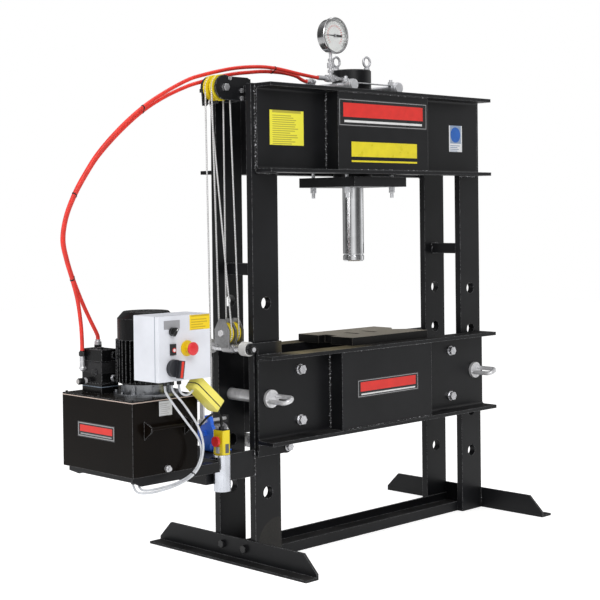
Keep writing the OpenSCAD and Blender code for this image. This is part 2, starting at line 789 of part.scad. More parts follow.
module press_cylinder() {
    nipple_hole = 22 + 2 * seat;
    chamfer = 4;
    color(black) translate([carriage_x, 0, 0]) difference() {
        rotate_extrude() polygon([[ram_d / 2 + seat, cylinder_z], [cylinder_d / 2, cylinder_z],
            [cylinder_d / 2, cylinder_top - chamfer], [cylinder_d / 2 - chamfer, cylinder_top], [0, cylinder_top],
            [0, cylinder_top - cap_h], [bore_d / 2, cylinder_top - cap_h], [bore_d / 2, cylinder_z + gland_h],
            [ram_d / 2 + seat, cylinder_z + gland_h]]);
        translate([0, stem_y, port_z]) bar_x(nipple_hole, -cylinder_d, -bore_d / 2 - 8);
        translate([0, port_y, low_port_z]) bar_x(nipple_hole, -cylinder_d, -cylinder_d / 2 * 0.66);
    }
}

// Piston and ram as one forged piece with a turned nose
module ram() {
    nose = 5;
    groove = 3;
    color(steel) translate([carriage_x, 0, 0]) rotate_extrude() polygon([
        [0, plate_z - ram_out], [ram_d / 2 - nose, plate_z - ram_out], [ram_d / 2, plate_z - ram_out + nose],
        [ram_d / 2, plate_z - ram_out + 24], [ram_d / 2 - groove, plate_z - ram_out + 27],
        [ram_d / 2 - groove, plate_z - ram_out + 31], [ram_d / 2, plate_z - ram_out + 34],
        [ram_d / 2, cylinder_z + gland_h + seat], [bore_d / 2 - seat, cylinder_z + gland_h + seat],
        [bore_d / 2 - seat, cylinder_z + gland_h + piston_h], [0, cylinder_z + gland_h + piston_h]]);
}

// Lifting eye on a threaded shank, standing at Z 0
module eye_bolt() {
    bar = eye_d * 0.2;
    cylinder(d = eye_d * 0.55, h = 6);
    hexagon(eye_d * 0.42, 14);
    translate([0, 0, 12 + eye_d / 2]) rotate([90, 0, 0])
        rotate_extrude() translate([eye_d / 2 - bar / 2, 0]) circle(d = bar);
}

// Gauge stem, hose ends, the return pipe and the lifting eyes
module cylinder_fittings() {
    nipple_d = 22;
    ferrule_d = 21;
    pipe_x = -190;
    pipe_end = -cylinder_d / 2 * 0.7;
    color(zinc) translate([carriage_x, 0, 0]) {
        for (side = [-1, 1]) translate([side * 58, -side * 42, cylinder_top]) eye_bolt();
        translate([gauge_x, stem_y, port_z]) {
            translate([0, 0, -15]) hexagon(30, 32);
            translate([0, 0, 15]) cylinder(d = 14, h = frame_h + gauge_z - gauge_d / 2 + gauge_step - seat - port_z - 15);
            translate([0, 0, 26]) hexagon(24, 14);
            translate([0, 0, 48]) hexagon(28, 24);
            translate([0, 0, 78]) hexagon(22, 12);
        }
        translate([0, stem_y, port_z]) {
            bar_x(nipple_d, gauge_x, -bore_d / 2 - 12);
            nut_x(28, gauge_x + 20, gauge_x + 38);
            nut_x(28, gauge_x - 34, gauge_x - 14);
            bar_x(ferrule_d, supply_route[0][0] - carriage_x, gauge_x - 30);
        }
        translate([0, port_y, port_z - 10]) {
            bar_x(ferrule_d, return_route[0][0] - carriage_x, pipe_x + 4);
            nut_x(26, pipe_x - 26, pipe_x - 8);
        }
        translate([pipe_x, port_y, low_port_z]) {
            cylinder(d = 16, h = port_z - 10 - low_port_z);
            translate([0, 0, port_z - 10 - low_port_z]) sphere(d = 24);
            sphere(d = 24);
        }
        translate([0, port_y, low_port_z]) {
            bar_x(nipple_d, pipe_x, pipe_end);
            nut_x(28, pipe_x + 10, pipe_x + 26);
        }
    }
}

module gauge_case() {
    rim = 8;
    face_in = 10;
    glass_step = 4;
    r = gauge_d / 2;
    back_r = r - gauge_step;
    color(steel) translate([carriage_x + gauge_x, gauge_y, frame_h + gauge_z]) rotate([90, 0, 0])
        translate([0, 0, -gauge_t]) rotate_extrude() polygon([
            [0, 0], [back_r - 5, 0], [back_r, 5], [back_r, gauge_t - 16], [r, gauge_t - 14], [r, gauge_t - 3],
            [r - 3, gauge_t], [r - rim, gauge_t], [r - rim, gauge_t - glass_step], [r - rim, gauge_t - face_in],
            [0, gauge_t - face_in]]);
}

// Needle with a boss on the dial, lying across the dial with its tail to the right
module gauge_needle() {
    length = gauge_d * 0.34;
    color(red) translate([carriage_x + gauge_x, gauge_y + 10 - seat, frame_h + gauge_z]) rotate([90, 0, 0]) {
        cylinder(d = 14, h = 4);
        linear_extrude(1.6) polygon([[-length, -0.8], [-length, 0.8], [0, 3.5], [length * 0.4, 6],
            [length * 0.4, -6], [0, -3.5]]);
    }
}

// Side plate of the hoist bracket, in the plane of X and Z about the sheave axis
module bracket_outline() {
    wing = hoist_x + upright_w / 2;
    translate([0, 0]) circle(upper_r + 2);
    translate([0, -upper_r - 2]) square([wing, 2 * upper_r - 6]);
    translate([0, -upper_r - 2]) square([wing - 22, 2 * upper_r - 1]);
    translate([wing - 22, upper_r - 25]) circle(22);
}

module hoist_bracket() {
    axle = 18;
    cross_x = hoist_x + 34;
    color(black) translate([sheave_axis_x, 0, sheave_axis_z]) {
        for (turn = [0, 1]) mirror([0, turn, 0])
            translate([0, -sheave_gap, 0]) rotate([90, 0, 0]) linear_extrude(bracket_t) bracket_outline();
        translate([0, sheave_gap + bracket_t, 0]) rotate([90, 0, 0]) linear_extrude(bracket_t)
            polygon([[-48, -20], [-44, -74], [-24, -74], [0, -upper_r], [0, -20]]);
        block([cross_x, -inner_y, -upper_r - 2], [cross_x + 12, inner_y, hoist_drop - 6]);
        bar_y(axle, -sheave_gap - bracket_t - 6, sheave_gap + bracket_t + 6);
        nut_y(28, -sheave_gap - bracket_t - 14, -sheave_gap - bracket_t);
        translate([becket_x, 0, becket_z]) bar_y(becket_d, -sheave_gap, sheave_gap);
        translate([28, 0, upper_r - 12]) nut_y(14, -sheave_gap - bracket_t - 6, -sheave_gap - bracket_t);
    }
}

// Grooved sheave on the Z axis
module sheave(pitch_r, rim_r, axle_hole) {
    floor_r = pitch_r - rope_d / 2 - seat;
    web = sheave_w * 0.5;
    difference() {
        rotate_extrude() difference() {
            translate([axle_hole / 2, -sheave_w / 2]) square([rim_r - axle_hole / 2, sheave_w]);
            translate([floor_r + groove_r, 0]) circle(groove_r);
            polygon([[floor_r + groove_r, -groove_r], [rim_r + 1, -groove_r - 1.5],
                [rim_r + 1, groove_r + 1.5], [floor_r + groove_r, groove_r]]);
        }
        for (face = [0, 1]) mirror([0, 0, face]) translate([0, 0, web / 2])
            difference() {
                cylinder(r = floor_r - 5, h = sheave_w);
                translate([0, 0, -1]) cylinder(r = axle_hole / 2 + 7, h = sheave_w + 2);
            }
    }
}

module upper_sheave(y) {
    color(yellow) translate([sheave_axis_x, y, sheave_axis_z]) rotate([90, 0, 0])
        sheave(upper_r, upper_r + 5, 18 + 2 * 0.08);
}

module rear_sheave() {
    upper_sheave(sheave_gap / 2);
}

module front_sheave() {
    upper_sheave(-sheave_gap / 2);
}

module lower_sheave(x) {
    color(yellow) translate([x, block_y, block_z]) rotate([0, 90, 0])
        sheave(lower_r, lower_r + 3.5, 16 + 2 * 0.08);
}

module left_sheave() {
    lower_sheave(block_x - sheave_gap / 2);
}

module right_sheave() {
    lower_sheave(block_x + sheave_gap / 2);
}

// Three chamfered plates, their bolt, and the strap that hooks under the guide tube
module lower_block() {
    half = lower_r + 5;
    axle = 16;
    top = lower_r + 20;
    strap_t = 5;
    tube_r = guide_tube_d / 2 + seat;
    strap_w = 70;
    strap_top = guide_tube_d / 2 - 1;
    rivet_d = 10;
    color(zinc) {
        translate([block_x, block_y, block_z]) {
            for (place = [-1, 0, 1])
                translate([place * sheave_gap - block_t / 2, 0, 0]) rotate([90, 0, 90]) linear_extrude(block_t)
                    polygon([[-half, -lower_r - (place == 0 ? 4 : 21)], [half, -lower_r - (place == 0 ? 4 : 21)],
                        [half, 14], [16, top], [-16, top], [-half, 14]]);
            bar_x(axle, -sheave_gap - block_t / 2 - 4, sheave_gap + block_t / 2 + 4);
            for (turn = [0, 1]) mirror([turn, 0, 0]) nut_x(24, sheave_gap, sheave_gap + block_t / 2 + 10);
        }
        translate([guide_up_x, block_y, guide_up_z]) {
            difference() {
                union() {
                    bar_y(2 * (tube_r + strap_t), -strap_w / 2, strap_w / 2);
                    block([-tube_r - strap_t, -strap_w / 2, 0], [tube_r + strap_t, strap_w / 2, strap_top]);
                }
                bar_y(2 * tube_r, -strap_w, strap_w);
                block([-tube_r, -strap_w, 0], [tube_r, strap_w, 3 * strap_top]);
                block([-3 * tube_r, -strap_w, strap_top], [3 * tube_r, strap_w, 3 * strap_top]);
            }
            for (spot = [-1, 1]) translate([0, spot * strap_w * 0.4, strap_top - rivet_d / 2 - 2]) {
                bar_x(rivet_d, block_x - guide_up_x - sheave_gap - block_t / 2 - 5, -tube_r - 1);
                bar_x(rivet_d, tube_r + 1, block_x - guide_up_x + sheave_gap + block_t / 2 + 5);
            }
        }
    }
}

// Rope arc of half a turn about the Z axis
module rope_arc(radius, start, sweep) {
    rotate([0, 0, start]) rotate_extrude(angle = sweep) translate([radius, 0]) circle(d = rope_d);
}

// One wire rope from the winch over the sheaves to the anchor pin
module hoist_rope() {
    left_x = sheave_axis_x - upper_r;
    right_x = sheave_axis_x + upper_r;
    drop_x = winch_x0 + 55;
    near_x = block_x - sheave_gap / 2;
    far_x = block_x + sheave_gap / 2;
    rear_y = sheave_gap / 2;
    turn_y = drum_y + drum_r + rope_d / 2 + seat;
    eye_r = becket_d / 2 + rope_d / 2 + seat;
    anchor = [sheave_axis_x + becket_x, 4, sheave_axis_z + becket_z - eye_r - 4];
    color(steel) {
        strand([drop_x, turn_y, drum_axis_z], [left_x, rear_y, sheave_axis_z], rope_d);
        translate([drop_x, drum_y, drum_axis_z]) rotate([90, 0, 90])
            rope_arc(drum_r + rope_d / 2 + seat, -170, 170);
        for (y = [-rear_y, rear_y])
            translate([sheave_axis_x, y, sheave_axis_z]) rotate([90, 0, 0]) rope_arc(upper_r, 0, 180);
        strand([right_x, rear_y, sheave_axis_z], [far_x, block_y + lower_r, block_z], rope_d);
        strand([far_x, block_y - lower_r, block_z], [right_x, -rear_y, sheave_axis_z], rope_d);
        strand([left_x, -rear_y, sheave_axis_z], [near_x, block_y + lower_r, block_z], rope_d);
        strand([near_x, block_y - lower_r, block_z], anchor, rope_d);
        for (x = [near_x, far_x])
            translate([x, block_y, block_z]) rotate([90, 0, 90]) rope_arc(lower_r, 180, 180);
        translate([anchor[0], anchor[1], sheave_axis_z + becket_z]) rotate([90, 0, 0])
            rotate_extrude() translate([eye_r, 0]) circle(d = rope_d);
        for (bend = [[drop_x, turn_y, drum_axis_z], [left_x, rear_y, sheave_axis_z],
            [right_x, rear_y, sheave_axis_z], [left_x, -rear_y, sheave_axis_z], [right_x, -rear_y, sheave_axis_z],
            [near_x, block_y - lower_r, block_z], [near_x, block_y + lower_r, block_z],
            [far_x, block_y - lower_r, block_z], [far_x, block_y + lower_r, block_z]])
            translate(bend) sphere(d = rope_d + seat);
        translate(anchor) sphere(d = rope_d * 1.5);
    }
}

// Outline of the winch's gear cover about the drum's axis, in the plane of Y and Z
module cover_outline(grow) {
    circle(gear_r + 10 + grow);
    translate([-pinion_r - 20 - grow, 0]) square([pinion_r + 40 + 2 * grow, pinion_rise - 8]);
    translate([-pinion_r / 2, pinion_rise - 8]) circle(pinion_r / 2 + 20 + grow);
    translate([-gear_r * 0.7 - grow, -drum_z + 9]) square([gear_r * 1.4 + 2 * grow, drum_z]);
}

module winch_frame() {
    base_t = 6;
    side_t = 6;
    color(blue) {
        block([winch_x0, drum_y - 50, bracket_top], [winch_x1, drum_y + 36, bracket_top + base_t]);
        for (x = [winch_x0, winch_x1 - side_t]) difference() {
            union() {
                block([x, drum_y - 36, bracket_top + base_t - bite], [x + side_t, drum_y + 30, drum_axis_z]);
                translate([0, drum_y, drum_axis_z]) bar_x(66, x, x + side_t);
                block([x, pinion_y - 16, drum_axis_z], [x + side_t, pinion_y + 16, pinion_z + 14]);
            }
            translate([0, pinion_y, pinion_z]) bar_x(14 + 2 * seat, x - 1, x + side_t + 1);
            translate([0, drum_y, drum_axis_z]) bar_x(hub_d + 2 * seat, winch_x0 - 1, winch_x0 + side_t + 1);
        }
        translate([winch_x0 - cover_d, drum_y, drum_axis_z]) difference() {
            rotate([90, 0, 90]) linear_extrude(cover_d) cover_outline(3);
            translate([3, 0, 0]) rotate([90, 0, 90]) linear_extrude(cover_d) cover_outline(0);
            translate([0, pinion_y - drum_y, pinion_rise]) bar_x(14 + 2 * seat, -1, 4);
        }
        translate([0, drum_y, drum_axis_z]) bar_x(16, winch_x0 - cover_d - 5, winch_x1 + 4);
        translate([0, drum_y, drum_axis_z]) nut_x(24, winch_x0 - cover_d - 12, winch_x0 - cover_d + bite);
    }
}

// Drum with its flanges and the large gear on its end
module winch_drum() {
    flange_r = drum_r + 8;
    low = winch_x0 + 6 + seat;
    high = winch_x1 - 6 - seat;
    teeth = 30;
    color(zinc) translate([0, drum_y, drum_axis_z]) difference() {
        union() {
            bar_x(2 * drum_r, low, high);
            bar_x(2 * (flange_r - 6), low, low + 4);
            bar_x(2 * (flange_r - 6), high - 4, high);
            bar_x(hub_d, winch_x0 - cover_d + 5, low + bite);
            difference() {
                bar_x(2 * gear_r, winch_x0 - cover_d + 5, winch_x0 - 3);
                for (i = [0 : teeth - 1]) rotate([360 * i / teeth, 0, 0])
                    translate([winch_x0 - cover_d, -1.6, gear_r - 5]) cube([cover_d, 3.2, 8]);
            }
        }
        bar_x(16 + 2 * 0.08, winch_x0 - cover_d, winch_x1);
    }
}

// Pinion shaft, arm and grip
module winch_crank() {
    arm_x = winch_x0 - cover_d - 26;
    arm_t = 8;
    grip = 18;
    color(steel) translate([0, pinion_y, pinion_z]) {
        bar_x(14, arm_x, winch_x1 + 2);
        bar_x(2 * pinion_r, winch_x0 - cover_d + 5, winch_x0 - 3);
        nut_x(22, arm_x - 8, arm_x);
        rotate([crank_angle, 0, 0]) {
            block([arm_x, -11, 0], [arm_x + arm_t, 11, crank_l]);
            bar_x(28, arm_x, arm_x + arm_t);
            translate([0, 0, crank_l]) {
                bar_x(22, arm_x, arm_x + arm_t);
                bar_x(grip - 4, arm_x - crank_grip, arm_x + bite);
                bar_x(grip + 4, arm_x - crank_grip - 14, arm_x - crank_grip);
            }
        }
    }
}

// Two side plates, an end plate and a seat plate on the uprights, with the shelf angles for the tank
module pack_bracket() {
    shelf_x0 = tank_x0 + 12;
    rail_y = tank_w / 2 - 22;
    shelf_z = tank_z - shelf_h;
    shelf_lip = 20;
    shelf_cut = 45;
    color(black) {
        for (turn = [0, 1]) mirror([0, turn, 0])
            block([bracket_x, -outer_y, bracket_z], [-outer_x, -outer_y + bracket_wall, bracket_top]);
        block([bracket_x, -outer_y, bracket_z], [bracket_x + bracket_wall, outer_y, bracket_top]);
        block([bracket_x, -outer_y, bracket_top - bracket_wall], [winch_x1 + 16, outer_y, bracket_top]);
        for (turn = [0, 1]) mirror([0, turn, 0]) {
            translate([0, -rail_y + shelf_t, 0]) rotate([90, 0, 0]) linear_extrude(shelf_t)
                polygon([[shelf_x0, tank_z], [shelf_x0, tank_z - shelf_lip], [shelf_x0 + shelf_cut, shelf_z],
                    [bracket_x + bracket_wall, shelf_z], [bracket_x + bracket_wall, tank_z]]);
            block([shelf_x0, -rail_y, tank_z - shelf_t], [bracket_x + bracket_wall, -rail_y + shelf_h, tank_z]);
        }
        block([shelf_x0, -rail_y, tank_z - shelf_lip], [shelf_x0 + shelf_t, rail_y, tank_z]);
        block([shelf_x0, -rail_y, tank_z - shelf_t], [shelf_x0 + shelf_h, rail_y, tank_z]);
        block([bracket_x, -rail_y, shelf_z], [bracket_x + bracket_wall, rail_y, bracket_top]);
    }
}

// Welded tank with a carrying handle on the front
module oil_tank() {
    handle_z = tank_z + 183;
    handle_out = 36;
    handle_x0 = tank_x0 + 56;
    handle_x1 = handle_x0 + 200;
    cheek_t = 5;
    color(black) {
        difference() {
            block([tank_x0, -tank_w / 2, tank_z], [tank_x1, tank_w / 2, tank_z + tank_h]);
            block([tank_x0 + tank_wall, -tank_w / 2 + tank_wall, tank_z + tank_wall],
                [tank_x1 - tank_wall, tank_w / 2 - tank_wall, tank_z + tank_h + 1]);
        }
        for (x = [handle_x0, handle_x1])
            translate([x, -tank_w / 2, handle_z]) rotate([90, 0, 90]) linear_extrude(cheek_t)
                polygon([[bite, 26], [-handle_out - 8, 10], [-handle_out - 8, -10], [bite, -44]]);
        translate([0, -tank_w / 2 - handle_out, handle_z]) bar_x(14, handle_x0, handle_x1 + cheek_t);
    }
}

module lid_gasket() {
    color([0.85, 0.72, 0.66]) difference() {
        block([tank_x0, -tank_w / 2, tank_z + tank_h], [tank_x1, tank_w / 2, lid_z]);
        block([tank_x0 + 20, -tank_w / 2 + 20, tank_z + tank_h - 1], [tank_x1 - 20, tank_w / 2 - 20, lid_z + 1]);
    }
}

module tank_lid() {
    color(black) block([tank_x0, -tank_w / 2, lid_z], [tank_x1, tank_w / 2, lid_top]);
}

// Cast pump flange with its neck, ribs and bolt heads
module bell_housing() {
    flange_h = 12;
    ribs = 8;
    color(steel) translate([motor_ax, motor_y, lid_top]) {
        cylinder(d = bell_d, h = flange_h);
        cylinder(d = motor_d - 20, h = bell_h);
        for (i = [0 : ribs - 1]) rotate([0, 0, 360 * i / ribs + 22.5]) {
            block([0, -5, 0], [motor_d / 2 - 2, 5, bell_h - 6]);
            rotate([0, 0, 180 / ribs]) translate([bell_d / 2 - 11, 0, flange_h - bite]) hexagon(13, 8);
        }
    }
}

// Finned motor body with the pad that carries the control box
module motor_body() {
    fins = 36;
    fin_t = 3.5;
    core_r = motor_d / 2 - 12;
    pad_w = 110;
    pad_z = motor_h * 0.34;
    pad_h = motor_h * 0.6;
    color(black) translate([motor_ax, motor_y, motor_z]) {
        cylinder(r = core_r, h = motor_h);
        for (i = [0 : fins - 1]) rotate([0, 0, 360 * i / fins])
            block([core_r - 4, -fin_t / 2, 6], [fin_d / 2, fin_t / 2, motor_h]);
        cylinder(d = motor_d - 6, h = 10);
        block([-pad_w / 2, control_back - motor_y, pad_z], [pad_w / 2, -core_r + 6, pad_z + pad_h]);
    }
}

module motor_cowl() {
    wall = 2.5;
    slope = 26;
    slots = 12;
    r = cowl_d / 2;
    color(black) translate([motor_ax, motor_y, motor_z + motor_h]) difference() {
        rotate_extrude() polygon([[0, 0], [r, 0], [r, cowl_h - slope], [r - slope * 0.8, cowl_h - 3],
            [r - slope * 0.8 - 3, cowl_h], [0, cowl_h], [0, cowl_h - wall], [r - slope * 0.8 - 4, cowl_h - wall],
            [r - wall, cowl_h - slope - 1], [r - wall, 6], [0, 6]]);
        for (ring_r = [30, 50, 70], i = [0 : slots - 1]) rotate([0, 0, 360 * i / slots])
            translate([ring_r, -3, cowl_h - 6]) cube([12, 6, 12]);
    }
}

// Stacked valve with a coil on top
module valve_block() {
    base_h = 40;
    top_h = 47;
    groove = 4;
    cap_d = 30;
    half = valve_w / 2;
    deep = valve_d / 2;
    port = return_route[len(return_route) - 1];
    color(black) translate([valve_ax, valve_y, lid_top]) {
        block([-half, -deep, 0], [half, deep, base_h]);
        block([-half + groove, -deep + groove, base_h - 1], [half - groove, deep - groove, base_h + groove + 1]);
        block([-half, -deep - 3, base_h + groove], [half + 6, deep, valve_h - top_h - groove]);
        block([-half + groove, -deep + groove, valve_h - top_h - groove - 1], [half - groove, deep - groove, valve_h - top_h + 1]);
        block([-half, -deep - 4, valve_h - top_h], [half - 6, deep, valve_h]);
        translate([port[0] - valve_ax, port[1] - valve_y, valve_h - 1]) cylinder(d = cap_d, h = 12);
        translate([-half + 24, -deep + 34, valve_h - 1]) cylinder(d = cap_d - 6, h = 9);
        translate([0, -20, (base_h + valve_h - top_h) / 2]) nut_x(26, -half - 6, -half + 2);
        translate([half * 0.45, 0, valve_h - top_h / 2]) nut_y(26, -deep - 10, -deep - 2);
    }
}

// Knurled knob that sets the pressure, on the left of the valve
module relief_knob() {
    knob_z = lid_top + 46;
    face = valve_ax - valve_w / 2;
    color(black) translate([0, valve_y + 37, knob_z]) {
        bar_x(26, face - 36, face - 14);
        bar_x(20, face - 41, face - 35);
        nut_x(22, face - 14, face - seat);
    }
}

// Hose ends and the riser on the valve
module pump_fittings() {
    face = valve_ax - valve_w / 2;
    front = valve_y - valve_d / 2 - 3;
    riser = supply_route[len(supply_route) - 1];
    port = return_route[len(return_route) - 1];
    low_z = lid_top + 96;
    port_low = lid_top + valve_h + 11;
    color(zinc) {
        translate([riser[0], riser[1], low_z]) {
            cylinder(d = 20, h = riser[2] - low_z);
            translate([0, 0, 50]) rotate([0, 0, 30]) hexagon(23, 16);
            sphere(d = 24);
        }
        translate([0, riser[1], low_z]) bar_x(18, riser[0], face);
        translate([port[0], port[1], port_low]) {
            cylinder(d = 21, h = port[2] - port_low);
            hexagon(27, 12);
        }
        translate([valve_ax + 16, 0, lid_top + 60]) {
            nut_y(20, front - 7, front);
            bar_y(12, front - 10, front - 6);
        }
    }
}

// Sheet enclosure, open at the front, with a panel, a contactor and terminals inside
module control_box() {
    panel_t = 2;
    inside = control_back - control_wall;
    color(light_grey) {
        difference() {
            block([control_x0, control_front, control_z], [control_x1, control_back, control_top]);
            block([control_x0 + control_wall, control_front - 1, control_z + control_wall],
                [control_x1 - control_wall, inside, control_top - control_wall]);
        }
        block([control_x0 + 18, inside - panel_t - 4, control_z + 18],
            [control_x1 - 18, inside + bite, control_top - 18]);
        block([control_mid_x - 50, inside - 80, control_z + 110], [control_mid_x + 6, inside - 5, control_z + 190]);
        block([control_mid_x + 26, inside - 70, control_z + 120], [control_mid_x + 80, inside - 5, control_z + 185]);
        for (i = [0 : 8])
            block([control_mid_x - 70 + i * 14, inside - 45, control_z + 44],
                [control_mid_x - 58 + i * 14, inside - 5, control_z + 74]);
    }
}

// Door seen from above, with its two folded edges
module door_outline(fold) {
    translate([control_x0, door_front + fold]) square([control_w, control_front - seat - door_front - fold]);
    translate([control_x0 + fold, door_front]) square([control_w - 2 * fold, 2 * fold]);
    for (x = [control_x0 + fold, control_x1 - fold]) translate([x, door_front + fold]) circle(fold);
}

// Folded door with a turned edge
module control_door() {
    wall = 2.5;
    color(light_grey) difference() {
        translate([0, 0, control_z]) linear_extrude(control_h) door_outline(wall);
        block([control_x0 + wall, door_front + wall, control_z + wall],
            [control_x1 - wall, control_front, control_top - wall]);
        for (spot = [[stop_x, stop_z, 22], [selector_x, selector_z, 16], [isolator_x, isolator_z, 16],
            [lamp_x, stop_z, 16]])
            translate([spot[0], 0, spot[1]]) bar_y(spot[2] + 2 * seat, door_front - 1, door_front + wall + 1);
    }
}

// Stop button collar, lamp and selector plate on the door
module door_fittings() {
    collar = 60;
    lamp_w = 26;
    lamp_h = 42;
    color(yellow) {
        translate([stop_x, 0, stop_z]) difference() {
            bar_y(collar, door_front - 4, door_front);
            bar_y(22 + 2 * seat, door_front - 5, door_front + 1);
        }
    }
    color(black) translate([lamp_x, 0, stop_z]) {
        block([-lamp_w / 2, door_front - 7, -lamp_h / 2], [lamp_w / 2, door_front, lamp_h / 2]);
        bar_y(16, door_front - 1, door_front + 22);
    }
    color(zinc) translate([selector_x, door_front, selector_z])
        block([-38, -1.5, 10], [38, 0, 42]);
}

module selector_knob() {
    color(black) translate([selector_x, 0, selector_z]) {
        bar_y(16, door_front - 4, door_front + 24);
        bar_y(32, door_front - 14, door_front - 1.5 - seat);
        rotate([0, 35, 0]) block([-6, door_front - 26, -16], [6, door_front - 13, 16]);
    }
}

module emergency_stop() {
    face = door_front - 4 - stop_travel;
    neck = 12;
    color(red) translate([stop_x, face, stop_z]) rotate([90, 0, 0]) rotate_extrude()
        polygon([[0, -stop_travel - 34], [11, -stop_travel - 34], [11, neck + 6], [stop_d / 2 - 4, neck + 8],
            [stop_d / 2, neck + 13], [stop_d / 2, neck + 18], [stop_d / 2 - 4, neck + 22],
            [stop_d / 2 - 11, neck + 24.5], [0, neck + 26]]);
}

// Round isolator base with an upright lever
module isolator_handle() {
    color(black) translate([isolator_x, 0, isolator_z]) {
        bar_y(16, door_front - 4, door_front + 26);
        bar_y(isolator_d, door_front - 20, door_front - seat);
        rotate([0, 8, 0]) block([2, door_front - 38, -isolator_d / 2 - 3], [24, door_front - 19, isolator_d / 2 - 2]);
    }
}

// Three glands under the control box, two under the shelf and one on the tank
module cable_glands() {
    color(black) {
        for (x = gland_xs) translate([control_mid_x + x, gland_y, control_z]) mirror([0, 0, 1]) {
            hexagon(gland_d, 8);
            cylinder(d = gland_d - 4, h = gland_l);
        }
        for (route = [motor_route, valve_route]) let (tip = route[len(route) - 1]) {
            drop = tank_z - shelf_t - tip[2] - seat;
            translate([tip[0], tip[1], tank_z - shelf_t]) mirror([0, 0, 1]) {
                hexagon(gland_d, 8);
                cylinder(d = gland_d - 4, h = drop);
            }
        }
        let (tip = pendant_route[len(pendant_route) - 1]) translate([0, tip[1], tip[2]]) {
            bar_x(gland_d - 4, tank_x1, tip[0] - seat);
            nut_x(gland_d, tank_x1, tank_x1 + 8);
        }
    }
}

module pendant_tube() {
    wall = 3;
    color(steel) translate([pocket_x, pocket_y, pocket_z]) difference() {
        cylinder(d = pocket_d, h = pocket_l);
        translate([0, 0, wall]) cylinder(d = pocket_d - 2 * wall, h = pocket_l);
    }
}

// Hand control with a plug that stands in the tube and a ribbed cable sleeve on top
module pendant_body() {
    half = pendant_d / 2;
    wide = pendant_w / 2;
    edge = 4;
    sleeve_top = pendant_route[0][2] - seat;
    color(yellow) difference() {
        translate([pocket_x, pocket_y, pendant_z]) {
            translate([0, 0, -pendant_z + pocket_z + 60]) cylinder(d = pendant_w - 4, h = pendant_z - pocket_z - 60 + bite);
            linear_extrude(pendant_h - 14) polygon([[-half, edge - wide], [edge - half, -wide], [half - edge, -wide],
                [half, edge - wide], [half, wide - edge], [half - edge, wide], [edge - half, wide], [-half, wide - edge]]);
            translate([0, 0, pendant_h - 14 - bite]) cylinder(d = 24, h = sleeve_top - pendant_z - pendant_h + 14 + bite);
        }
        translate([pocket_x - half, pocket_y, pendant_z + pendant_stop_z]) bar_x(16 + 2 * seat, -1, 14);
        translate([pocket_x - half, pocket_y, pendant_z + pendant_button_z]) block([-1, -9 - seat, -14 - seat], [12, 9 + seat, 14 + seat]);
    }
}

module pendant_stop() {
    reach = 7;
    color(red) translate([pocket_x - pendant_d / 2, pocket_y, pendant_z + pendant_stop_z]) {
        bar_x(16, -reach, 13 - stop_travel);
        bar_x(42, -reach - 10, -stop_travel - 1);
    }
}

module pendant_button() {
    color(light_grey) translate([pocket_x - pendant_d / 2, pocket_y, pendant_z + pendant_button_z])
        block([-5, -9, -14], [7, 9, 14]);
}

// Two half shells with a seam between them, hung at a slope under the control box
module second_control() {
    corner = 16;
    seam = 2;
    color(yellow) translate([second_x, second_y, second_z]) rotate([0, second_slope, 0]) {
        for (shell = [-1, 1]) {
            high = shell > 0 ? second_t / 2 : -seam / 2 - second_t * 0.12;
            low = shell > 0 ? seam / 2 - second_t * 0.12 : -second_t / 2;
            hull() for (x = [-1, 1], y = [-1, 1])
                translate([x * (second_l / 2 - corner), y * (second_w / 2 - corner), low])
                    cylinder(r = corner, h = high - low, $fn = 32);
        }
        translate([0, 0, -second_t * 0.12 - seam]) linear_extrude(2 * seam)
            square([second_l - 8, second_w - 8], center = true);
    }
}

module supply_hose() {
    color(red) swept(supply_route, hose_d);
}

module return_hose() {
    color(red) swept(return_route, hose_d);
}

module motor_cable() {
    color(light_grey) swept(motor_route, cable_d);
}

module valve_cable() {
    color(light_grey) swept(valve_route, cable_d);
}

module second_cable() {
    color(light_grey) swept(second_route, cable_d);
}

module pendant_cable() {
    color(black) swept(pendant_route, cable_d);
}

left_side_frame();
right_side_frame();
head_channels();
bed_channels();
bed_ties();
upper_guide_rollers();
lower_guide_rollers();
bolster_plates();
feet();
base_tie();
fasteners();
left_pin();
right_pin();
carriage_plate();
carriage_hanger();
left_rollers();
right_rollers();
press_cylinder();
cylinder_fittings();
ram();
gauge_case();
gauge_needle();
hoist_bracket();
rear_sheave();
front_sheave();
lower_block();
left_sheave();
right_sheave();
hoist_rope();
winch_frame();
winch_drum();
winch_crank();
pack_bracket();
oil_tank();
lid_gasket();
tank_lid();
bell_housing();
motor_body();
motor_cowl();
valve_block();
relief_knob();
pump_fittings();
control_box();
control_door();
door_fittings();
selector_knob();
emergency_stop();
isolator_handle();
cable_glands();
pendant_tube();
pendant_body();
pendant_stop();
pendant_button();
second_control();
supply_hose();
return_hose();
motor_cable();
valve_cable();
second_cable();
pendant_cable();
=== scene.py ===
# %% [markdown]
# # A workshop press with its power pack
# The solids of the press come in as a fixed frame, and this lesson dresses them.
# Each step says what a piece or a finish is on the real machine, and why it is made this way.

# %% Load the solids
import math

import bmesh
import bpy
from mathutils import Matrix, Vector


